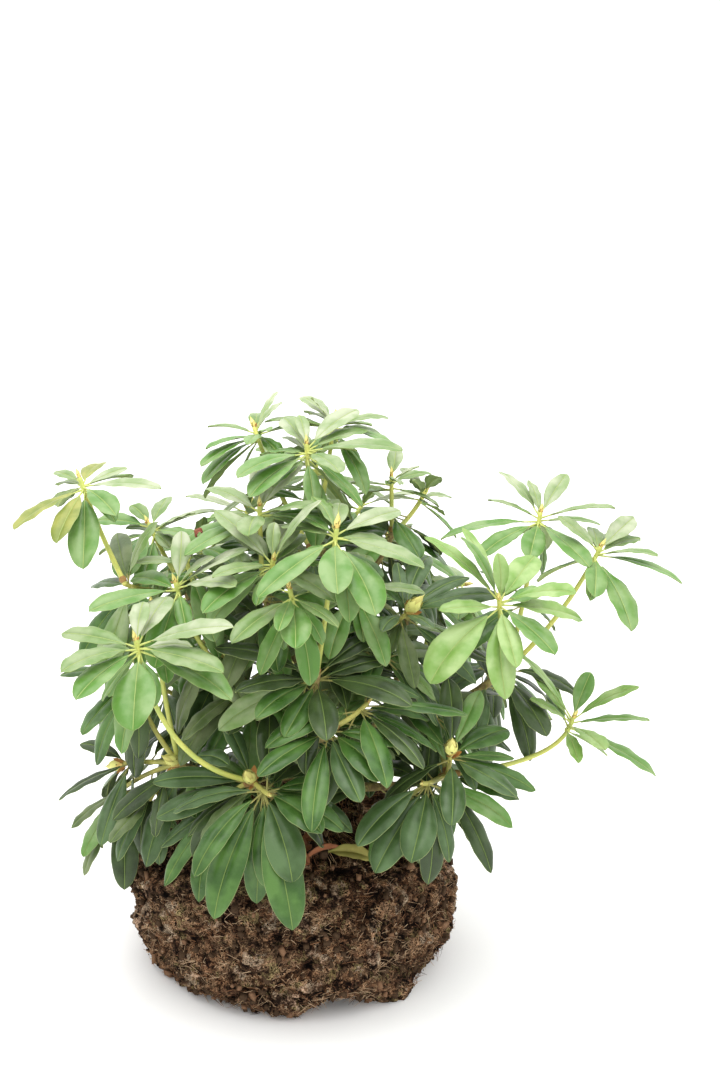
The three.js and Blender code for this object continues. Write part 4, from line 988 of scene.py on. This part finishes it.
standing = Standing()
trunk_low = tube_rings(trunk_curve, 0, NECK_AT, (FLARE, NECK), 8, 2)
trunk_high = tube_rings(trunk_curve, NECK_AT, 1, (NECK, HEAD), 8, 3)
standing.add("trunk", Body(grown([*trunk_low, *trunk_high[1:]], BREATH)))
stems = {}
for name, (*_, thick) in LIMBS.items():
    curve = curves[name]
    share, gap = 1 - NODE_STEM / length(curve), SEAT / length(curve)
    at_node = between(thick, share)
    wood = tube_rings(curve, 0, share - gap / 2, (thick[0], at_node), LIMB_SIDES, LIMB_STEPS)
    stems[name] = tube_rings(curve, share + gap / 2, 1, (at_node, thick[1]), LIMB_SIDES, 2)
    standing.add("bough_" + name, Body(grown(wood, BREATH)))

rings, forks = [], {}
for name, (fork, *shoots) in MASSES.items():
    forks[name] = {**fork, "tip": curves[name][2], "axis": tangent(curves[name], 1), "curve": None}
    tips = []
    for shoot in shoots:
        tips.append(sprout(tips[shoot["start"]] if "start" in shoot else forks[name], shoot))
    for number, ring in enumerate([forks[name], *tips]):
        ring.update(mass=name, number=number, id=len(rings) + 1)
        rings.append(ring)
        body = stems[name]
        if number:
            body = tube_rings(ring["curve"], 0, 1, SHOOT_THICK, SHOOT_SIDES, SHOOT_STEPS)
        standing.add(ring["id"], Body(grown(body, BREATH)), Body(body[:2]))
        if ring["bud"]:
            bud = bud_rings(ring["tip"], ring["axis"], ring["bud"])
            standing.add(ring["id"], Body(grown(bud, BREATH / 2)))

# The given leaves stand first, then those that fill the rings, then the side shoots, and small leaves last.
leaves = []
for ring in rings:
    given_leaves(ring)
for ring in rings:
    ring_leaves(ring, dice(SEED * (100 + ring["seed"] if ring["seed"] else ring["id"]) + 13))
for number, (name, end, given) in enumerate(SIDE_SHOOTS):
    shoot = old_ring(4, 50 * number, 112, -31, 0, end, given)
    rings.append({**sprout(forks[name], shoot), "mass": name, "number": 8, "id": len(rings) + 1})
    given_leaves(rings[-1])
for ring in rings:
    more = {**ring, "leaves": 4, "first": ring["first"] + SMALL_TURN,
            "long": ring["long"] * SMALL[ring["kind"]],
            "lift": ring["lift"] + SMALL_LIFT, "spread": ring["spread"] * SMALL_SPREAD}
    ring_leaves(more, dice(SEED * (300 + ring["id"]) + 7))


def inner_ring(ring, path, share, seed, **own):
    """Old leaves left along the wood behind a ring."""
    inner = {**ring, "tip": at(path, share), "axis": tangent(path, share), "kind": "old", "number": 9,
             "long": INNER_LONG, "lift": INNER_LIFT, **own}
    ring_leaves(inner, dice(seed))


for number, name in enumerate(LIMBS):
    for share, count in INNER:
        seed, first = SEED * (500 + number) + int(100 * share), number * 77 + 300 * share
        wood = {**OLD, "id": "bough_" + name, "mass": name}
        inner_ring(wood, curves[name], share, seed, leaves=count, first=first, spread=70)
for ring in rings:
    if ring["curve"] is not None and (ring["tip"][1] > INNER_BEHIND or ring["kind"] == "old"):
        seed, first = SEED * (700 + ring["id"]) + 3, ring["first"] + 45
        inner_ring(ring, ring["curve"], 0.5, seed, leaves=4, first=first, spread=60)


# Shoots. This year's growth is smooth, yellow-green and as thick as a straw; last year's has turned olive.
# Each starts at a collar of brown scale scars on the fork or on the shoot below it.
SHOOT_ROUND, SHOOT_STEP, COLLAR_STEPS = 10, 3.4, 9


def shoot_finish(name, light, dark, brown):
    made = Finish(name, Roughness=0.5, Specular_IOR_Level=0.45)
    broad, fine = made.speckle(60.0, 3.0), made.speckle(900.0, 3.0)
    base = made.blend(made.ramp(broad, (0.35, BLACK), (0.65, WHITE)), light, dark)
    marks = made.ramp(fine, (0.6, BLACK), (0.72, WHITE))
    made.set(Base_Color=made.blend(marks, base, brown))
    made.bump(fine, 0.25, 0.0004)
    return made


shoot_wood, collars = Heap(), Heap()
for ring in rings:
    if ring["curve"] is None:
        continue
    curve = ring["curve"]
    long = length(curve)
    t = np.linspace(0, 1, max(8, int(long / SHOOT_STEP)))
    path = at(curve, t)
    radii = between(SHOOT_THICK, t) * (1 + 0.12 * np.exp(-(1 - t) * long / 9)) * 0.92
    relief = bark_relief(path, SHOOT_ROUND, ring["id"], depth=0.05, grain=16)
    shoot_wood.add(*tube(path, radii, SHOOT_ROUND, relief), int(ring["kind"] == "old"))
    t = np.linspace(2.5 / long, 9 / long, COLLAR_STEPS)
    scales = 0.06 * np.cos(np.arange(COLLAR_STEPS) * 3.14)
    swell = radii[0] * (1.12 + 0.3 * np.sin(np.linspace(0, 3.14, COLLAR_STEPS)) + scales)
    collars.add(*tube(at(curve, t), swell, SHOOT_ROUND))
shoot_finishes = [shoot_finish("young_shoot", (0.57, 0.57, 0.13), (0.42, 0.49, 0.11), (0.42, 0.29, 0.09)),
                  shoot_finish("older_shoot", (0.52, 0.49, 0.12), (0.36, 0.36, 0.09), (0.28, 0.18, 0.07))]
shoot_wood.piece("shoots", shoot_finishes, slot="bark")
scar = mottled("scale_scars", (0.44, 0.26, 0.075), (0.24, 0.13, 0.05), 500.0, Roughness=0.8)
collars.piece("shoot_collars", [scar], slot="bark")


# Leaves. Leathery blades on the tops of the shoots, folded a little along a pale midrib, with sunken side
# veins and a fine pale margin: light and bright in this year's rings, dark green and duller in last year's.
# The paler tones of this year's higher leaves are painted sheen, and those of old leaves high in the crown
# painted top light.
ROWS, BLADE_FROM = 15, 0.145  # rows of faces along a blade, and the share of the leaf that is stalk
OUTLINE = [(0, 0.04), (0.05, 0.2), (0.12, 0.42), (0.22, 0.7), (0.34, 0.9), (0.47, 0.99), (0.56, 1.0),
           (0.67, 0.94), (0.78, 0.81), (0.87, 0.63), (0.94, 0.4), (0.98, 0.19), (1, 0.03)]
RIB_HALF, MARGIN_WIDE, BLADE_THICK, RIB_THICK, GROOVE = 0.42, 0.4, 0.5, 1.1, 0.35
VEIN_SLANT, VEIN_DEEP, RIPPLES, MIDRIB_STEPS = 0.34, 0.3, 3.3, 60
UPPER, LOWER = 11, 5  # points across its upper and lower skin
FACE, RIM, RIB_STRIP, UNDERSIDE, UNDER_STRIP = range(5)

u = np.linspace(0, 1, ROWS + 1)
u = 0.6 * u + 0.4 * (1 - np.cos(np.pi * u)) / 2
outline_at, outline_width = zip(*OUTLINE)
row_width = np.interp(u, outline_at, outline_width)
row_share = BLADE_FROM + (1 - BLADE_FROM) * u
is_vein = (np.arange(ROWS + 1) % 3 == 1)[:, None]


def blade(leaf, fold, throw):
    """The leaf's upper and lower skin, joined along its rim."""
    steps = np.linspace(0, 1, MIDRIB_STEPS + 1)
    along, side, face = leaf_frame(leaf, steps)
    walk = np.cumsum((along[1:] + along[:-1]) / 2 * leaf["long"] / MIDRIB_STEPS, axis=0)
    midrib = np.vstack([[0, 0, 0], walk]) + leaf["root"]
    midrib += side * (leaf.get("hook", 0) * leaf["long"] * steps * (1 - steps) * 4)[:, None]
    centre, along, side, face = [
        np.stack([np.interp(row_share, steps, rows[:, k]) for k in range(3)], -1)
        for rows in (midrib, along, side, face)]
    half = (leaf["long"] * leaf["wide"] / 2 * 0.95 * row_width)[:, None]
    rib, rim = np.minimum(RIB_HALF, 0.3 * half), np.minimum(MARGIN_WIDE, 0.22 * half)
    wave, phase = 0.3 + 0.8 * throw(), 6.28 * throw()

    def skin(x, deep, depth_of_veins):
        c = np.abs(x) / half
        rise = half * (fold[0] * c - fold[1] * c ** 2) - np.where(c < 0.001, GROOVE, 0)
        vein = np.where(is_vein, -VEIN_DEEP, VEIN_DEEP * 0.3) * c ** 0.3 * (1 - c ** 3)
        sway = wave * c ** 3 * np.sin(2 * np.pi * RIPPLES * u[:, None] + phase + (x > 0) * 1.9)
        ahead = VEIN_SLANT * np.abs(x) * (1 - 0.4 * u[:, None])
        lift = rise + vein * depth_of_veins + sway - deep
        return (centre[:, None] + along[:, None] * ahead[..., None] + side[:, None] * x[..., None]
                + face[:, None] * lift[..., None])

    right = [rib, 0.33 * half, 0.64 * half, half - rim, half]
    upper = skin(np.hstack([*(-x for x in right[::-1]), 0 * half, *right]), 0, 1)
    right = [rib * 1.2, 0.55 * half]
    deep = np.array([BLADE_THICK, BLADE_THICK, RIB_THICK, BLADE_THICK, BLADE_THICK])
    lower = skin(np.hstack([*(-x for x in right[::-1]), 0 * half, *right]), deep, 0.4)
    return np.concatenate([upper.reshape(-1, 3), lower.reshape(-1, 3)])


under = (ROWS + 1) * UPPER
k = np.arange(ROWS)
near, far, near_under, far_under = k * UPPER, (k + 1) * UPPER, under + k * LOWER, under + (k + 1) * LOWER
left_rim = np.stack([near, far, far_under, near_under], -1)
right_rim = np.stack([near_under + LOWER - 1, far_under + LOWER - 1, far + UPPER - 1, near + UPPER - 1], -1)
underside = grid_quads(ROWS + 1, LOWER, False, under)[:, ::-1]
blade_quads = np.concatenate([grid_quads(ROWS + 1, UPPER, False), left_rim, right_rim, underside])
half_face = [RIM, FACE, FACE, FACE, RIB_STRIP]
blade_kind = np.concatenate([
    np.tile([*half_face, *half_face[::-1]], ROWS), [UNDERSIDE] * (2 * ROWS),
    np.tile([UNDERSIDE, UNDER_STRIP, UNDER_STRIP, UNDERSIDE], ROWS)])


def leaf_finish(name, colour, other, sheen, rough, shine):
    """One tone of a leaf's upper face: two near greens that drift into each other under a dull wax."""
    skin = dict(Sheen_Weight=sheen, Sheen_Roughness=0.4, Sheen_Tint=(1, 1, 0.93))
    made = Finish(name, Specular_IOR_Level=shine, **skin)
    broad, fine = made.speckle(38.0, 3.0, 0.5), made.speckle(1300.0, 2.0, 0.6)
    base = made.blend(made.ramp(broad, (0.4, BLACK), (0.62, WHITE)), colour, other)
    made.set(Base_Color=made.blend(fine * 0.12, base, (0.3, 0.4, 0.15)), Roughness=rough + broad * 0.16)
    made.bump(made.speckle(140.0, 2.0) + fine * 0.25, 0.35, 0.0012)
    return made


def plain_finishes(tones):
    """Plain finishes for leaf rims, undersides, stalks and scales: two colours, and how rough it is."""
    finishes = []
    for name, (colour, other, rough) in tones.items():
        made = Finish(name, Specular_IOR_Level=0.4)
        fine = made.speckle(260.0, 3.0, 0.6)
        made.set(Base_Color=made.blend(fine, colour, other), Roughness=rough + fine * 0.1)
        made.bump(fine, 0.15, 0.0004)
        finishes.append(made)
    return finishes


# The light tone and the palest one are painted sheen: this year's leaves take them by how high they lift.
TONES = {  # two greens, then the sheen, the roughness and the shine
    "lime": ((0.16, 0.3, 0.055), (0.3, 0.42, 0.16), 0.0, 0.3, 0.4),
    "fresh": ((0.075, 0.2, 0.024), (0.18, 0.29, 0.1), 0.0, 0.28, 0.4),
    "light": ((0.115, 0.21, 0.047), (0.235, 0.305, 0.145), 0.05, 0.3, 0.45),
    "silver": ((0.19, 0.275, 0.105), (0.36, 0.4, 0.265), 0.2, 0.34, 0.5),
    "mid": ((0.016, 0.07, 0.004), (0.062, 0.15, 0.026), 0.0, 0.22, 0.36),
    "dark": ((0.009, 0.026, 0.0035), (0.034, 0.066, 0.016), 0.0, 0.23, 0.36),
    "bluish": ((0.022, 0.06, 0.012), (0.065, 0.125, 0.045), 0.0, 0.26, 0.36),
    "dusty": ((0.06, 0.1, 0.025), (0.15, 0.19, 0.085), 0.05, 0.36, 0.38),
    "yellowing": ((0.16, 0.2, 0.03), (0.29, 0.3, 0.07), 0.0, 0.34, 0.35),
}
LEAF_PARTS = {
    "leaf_margin_young": ((0.35, 0.45, 0.16), (0.26, 0.35, 0.11), 0.55),
    "leaf_margin_old": ((0.3, 0.36, 0.14), (0.18, 0.24, 0.068), 0.55),
    "leaf_midrib_young": ((0.34, 0.43, 0.14), (0.26, 0.35, 0.11), 0.55),
    "leaf_midrib_old": ((0.22, 0.3, 0.081), (0.14, 0.22, 0.047), 0.55),
    # The undersides are paler than the faces, as on the real leaves, and lightened beyond that as painted
    # light shining through the blade and lifting the shade in the crown.
    "leaf_under_young": ((0.26, 0.36, 0.14), (0.34, 0.43, 0.19), 0.75),
    "leaf_under_old": ((0.16, 0.23, 0.095), (0.22, 0.28, 0.14), 0.75),
    "leaf_under_rib": ((0.41, 0.49, 0.16), (0.35, 0.43, 0.14), 0.55),
}
leaf_finishes = [leaf_finish("leaf_" + tone, *row) for tone, row in TONES.items()]
leaf_finishes += plain_finishes(LEAF_PARTS)
MARGIN, RIB, UNDER, UNDER_RIB = len(TONES), len(TONES) + 2, len(TONES) + 4, len(TONES) + 6
OLD_TONES = ("mid", "dark", "bluish", "mid", "dusty", "dark")
OLD_STRAYS = ("dark", "fresh", "dark", "dusty", "bluish", "dark")
# Old leaves that stand above UPPER_CROWN take paler tones and strays than those below, which keep the
# darker ones: painted top light, as from the lamp overhead.
UPPER_CROWN, TOP_LIT_TONES = 385, ("fresh", "light", "dusty", "mid")  # old leaves higher up are paler
TOP_LIT_STRAYS = ("mid", "light", "bluish", "fresh", "dusty", "light")
STRAYS, STRAY_STEP, YELLOWING, LIME = 0.4, 15, 0.93, 0.75
# How much a leaf turned to the front drops back from the painted sheen, how unevenly the tones fall, and
# the lifts up to which a leaf stays fresh green and then light before it takes the palest tone, a painted
# sheen.
FRONT_SHEEN_CUT, UNEVEN, FRESH_TO, LIGHT_TO = 32, 56, -15, 14
SPRAY_TONES = {("front_left", 2): "mid", ("front_left", 0): "bluish", ("front", 0): "dark",
               ("front_low", 1): "mid", ("left_low", 0): "bluish", ("left_low", 3): "bluish",
               ("left_low", 4): "dusty", ("right_low", 3): "mid", ("right_low", 4): "bluish",
               ("centre_right", 1): "bluish"}
LIME_RINGS = {("right_low", 1), ("right_high", 2)}
LEAF_SEED, TWIST, HOOK = 5150, 44, 0.07
LEFT_TO, RIGHT_FROM = -85, 75  # where the middle third of the crown ends on either side
STALK_STEPS, STALK_THICK, STALK_TIP, STALK_INTO = 6, (1.35, 1.2), 0.75, 0.03
OLD_FOLD, YOUNG_FOLD = (0.6, 0.68), (0.66, 0.56)
YELLOWING_RINGS = {("left_high", 3), ("left_high", 1), ("top", 2), ("right_crown", 1), ("centre_right", 2)}


def tone_of(leaf, throw):
    """Old rings keep to a tone, with strays. In this year's rings a leaf is painted the paler the higher it
    stands, as a painted sheen, and greener towards the front, where it shows less of that painted sheen,
    and a few leaves turn yellow."""
    ring, stray = leaf["ring"], throw()
    spray = (ring["mass"], ring["number"])
    if stray > YELLOWING and spray in YELLOWING_RINGS:
        return "yellowing"
    if ring["kind"] == "old":
        # A low old leaf keeps the darker tones; a high one takes the paler ones, painted top light.
        low = leaf["root"][2] < UPPER_CROWN
        tones, strays = (OLD_TONES, OLD_STRAYS) if low else (TOP_LIT_TONES, TOP_LIT_STRAYS)
        tone = SPRAY_TONES.get(spray) or tones[int(ring["first"]) % len(tones)]
        return strays[int(stray * STRAY_STEP)] if stray < STRAYS else tone
    # This year's leaves: the higher a leaf lifts, the paler its tone, as painted sheen, and a leaf turned
    # to the front takes less of it.
    forward = max(0.0, -math.sin(math.radians(leaf["turn"]))) ** 3
    stands = leaf["lift"] - FRONT_SHEEN_CUT * forward + UNEVEN * (stray - 0.5)
    if spray in LIME_RINGS:
        return "lime" if stray < LIME else "fresh"
    return "fresh" if stands < FRESH_TO else "light" if stands < LIGHT_TO else "silver"


def side_of(x):
    return "left" if x < LEFT_TO else "right" if x > RIGHT_FROM else "middle"


leaf_heaps = {"left": Heap(), "middle": Heap(), "right": Heap()}
stalks = Heap()
throw = dice(LEAF_SEED)
for leaf in leaves:
    old = leaf["ring"]["kind"] == "old"
    leaf["twist"], leaf["hook"] = (throw() - 0.5) * TWIST, (throw() - 0.5) * HOOK
    tone = list(TONES).index(tone_of(leaf, throw))
    marks = np.choose(blade_kind, [tone, MARGIN + old, RIB + old, UNDER + old, UNDER_RIB])
    points = blade(leaf, OLD_FOLD if old else YOUNG_FOLD, throw)
    leaf_heaps[side_of(leaf["root"][0])].add(points, blade_quads, marks)

    steps = np.linspace(0, BLADE_FROM + STALK_INTO, STALK_STEPS)
    along, side, face = leaf_frame(leaf, steps)
    walk = np.cumsum((along[1:] + along[:-1]) / 2 * leaf["long"] * steps[1], axis=0)
    path = leaf["root"] + np.vstack([[0, 0, 0], walk]) - face * 0.5
    stalks.add(*tube(path, np.linspace(STALK_THICK[old], STALK_TIP, STALK_STEPS), 5), int(old))

# Each third of the leaves takes the place of the foliage on its side.
for side, heap in leaf_heaps.items():
    its_foliage = ["foliage_" + name for name, fork in forks.items() if side_of(fork["tip"][0]) == side]
    heap.piece("leaves_" + side, leaf_finishes, *its_foliage, slot="leaves")


# Leaf stalks. Each leaf stands on a short round stalk, pale yellow-green like the midrib it runs into. Its
# foot is sunk in the shoot, and its head ends inside the blade.
STALK_TONES = {
    "young_stalk": ((0.55, 0.6, 0.18), (0.43, 0.49, 0.13), 0.55),
    "older_stalk": ((0.39, 0.35, 0.1), (0.21, 0.22, 0.065), 0.55),
}
stalks.piece("leaf_stalks", plain_finishes(STALK_TONES), slot="leaves")


# Buds. Plump flower buds wrapped in overlapping pale green scales stand on some shoots, with slim leaf buds
# on the rest, and a few dry brown scales curl away below each.
BUD_SHAPE = ((-0.12, 0, 0.2, 0.42, 0.62, 0.82, 0.95, 1.02, 1.12),
             (0.45, 0.66, 0.95, 1, 0.86, 0.52, 0.24, 0.1, 0.04))
SCALE_SHAPE = ((-0.12, 0, 0.2, 0.42, 0.62, 0.82, 0.95, 1), (0.45, 0.66, 0.95, 1, 0.86, 0.5, 0.2, 0.02))
SCALE_WIDTH, SCALE_ACROSS = (0.75, 1.0, 0.95, 0.75, 0.42, 0.04), 5
BUD_SEED, BUD_RINGS, BUD_SIDES, SPIRAL = 31337, 13, 12, 137.5
FLOWER_SCALE, LEAF_SCALE, FOOT_SCALE, BETWEEN, DRY_SCALE, POINT = range(6)


def scale_patch(tip, axis, long, plump, turn, low, high, wide, lift):
    """One scale: a pointed patch wrapped on the bud, standing off it a little towards its point."""
    side = unit(np.array([1.0, 0, 0]) - axis * axis[0])
    other = np.cross(axis, side)
    s, across = np.linspace(0, 1, len(SCALE_WIDTH))[:, None], np.linspace(-1, 1, SCALE_ACROSS)[None]
    angle = np.radians(turn) + across * (np.array(SCALE_WIDTH) * wide)[:, None]
    share = low + (high - low) * s * (1 - 0.06 * across ** 2)
    shape = np.interp(share, *SCALE_SHAPE)
    r = plump * shape + lift * (0.35 + s)
    out = np.cos(angle)[..., None] * side + np.sin(angle)[..., None] * other
    return tip + axis * (share * long)[..., None] + out * r[..., None]


scale_quads = grid_quads(len(SCALE_WIDTH), SCALE_ACROSS, False)
bud_bands = [BETWEEN] * 6 + [POINT] * 6 + [BETWEEN, POINT]
bud_heap = Heap()
throw = dice(BUD_SEED)
for ring in rings:
    if not ring["bud"]:
        continue
    tip, axis, long = ring["tip"], ring["axis"], ring["bud"]
    plump = bud_plump(long)
    scales, dry_scales, own = (17, 5, FLOWER_SCALE) if long > FLOWER_BUD_FROM else (9, 3, LEAF_SCALE)
    shares = np.linspace(-0.1, 1.12, BUD_RINGS)
    radii = plump * np.interp(shares, *BUD_SHAPE) * 0.92
    core = tube(tip + axis * (shares * long)[:, None], radii, BUD_SIDES)
    bud_heap.add(*core, np.repeat(bud_bands, BUD_SIDES))
    for k in range(scales):
        share = k / scales
        low, turn = -0.1 + 0.62 * share, k * SPIRAL + 20 * throw()
        high = min(low + 0.34 + 0.12 * share, 1.0)
        patch = scale_patch(tip, axis, long, plump, turn, low, high, 0.72 - 0.2 * share, plump * 0.1)
        bud_heap.add(patch.reshape(-1, 3), scale_quads, FOOT_SCALE if k < 4 else own)
    for k in range(dry_scales):
        turn, high, lift = 360 * throw(), 0.25 + 0.3 * throw(), plump * (0.5 + 0.6 * throw())
        patch = scale_patch(tip, axis, long * 0.6, plump * 0.8, turn, -0.2, high, 0.35, lift)
        bud_heap.add(patch.reshape(-1, 3), scale_quads, DRY_SCALE)
BUD_TONES = {
    "flower_bud_scale": ((0.92, 0.88, 0.3), (0.79, 0.79, 0.24), 0.42),
    "leaf_bud_scale": ((0.92, 0.84, 0.31), (0.79, 0.62, 0.18), 0.45),
    "bud_foot_scale": ((0.79, 0.52, 0.14), (0.84, 0.7, 0.23), 0.5),
    "between_scales": ((0.42, 0.36, 0.1), (0.34, 0.26, 0.07), 0.6),
    "dry_scale": ((0.6, 0.31, 0.084), (0.34, 0.14, 0.048), 0.8),
    "bud_point": ((0.74, 0.68, 0.22), (0.62, 0.56, 0.17), 0.5),
}
bud_heap.piece("buds", plain_finishes(BUD_TONES), slot="leaves")


# Fallen leaves. A few dead leaves lie curled on the crown of the root ball, two ochre and the rest a dry
# red-brown, and one withered leaf end hangs in the crown. Each row has its turn, lift, droop, length, width
# and roll, where its root lies, and its finish.
FALLEN_SEED, FALLEN_FOLD = 606, (0.9, 0.5)
BROWN, OCHRE, WITHERED = range(3)
FALLEN = [
    (205, -6, 34, 50, 0.42, 34, (299, 121, 178), BROWN),
    (352, -2, 30, 60, 0.3, 38, (284, 126, 178), OCHRE),
    (150, 6, 40, 34, 0.5, -20, (290, 112, 177), BROWN),
    (20, 10, 50, 30, 0.5, 25, (272, 104, 177), BROWN),
    (250, 4, 44, 28, 0.55, -30, (281, 100, 177), BROWN),
    (320, -4, 20, 46, 0.36, 30, (262, 112, 176), BROWN),
    (40, -8, 26, 60, 0.3, -25, (60, 92, 176), BROWN),
    (200, -10, 26, 54, 0.32, 20, (140, 100, 176), OCHRE),
    (20, 40, 150, 17, 0.42, 30, (219, 142, 522), WITHERED),
]
DEAD_TONES = {
    "dead_leaf_brown": ((0.36, 0.13, 0.05), (0.19, 0.07, 0.03), 0.7),
    "dead_leaf_ochre": ((0.42, 0.4, 0.1), (0.3, 0.25, 0.07), 0.7),
    "withered_leaf": ((0.3, 0.09, 0.05), (0.16, 0.06, 0.03), 0.7),
}
fallen = Heap()
throw = dice(FALLEN_SEED)
for turn, lift, droop, long, wide, roll, root, mark in FALLEN:
    leaf = dict(turn=turn, lift=lift, droop=droop, long=long, wide=wide, roll=roll, root=place(*root))
    fallen.add(blade(leaf, FALLEN_FOLD, throw), blade_quads, mark)
fallen.piece("fallen_leaves", plain_finishes(DEAD_TONES), slot="leaves")
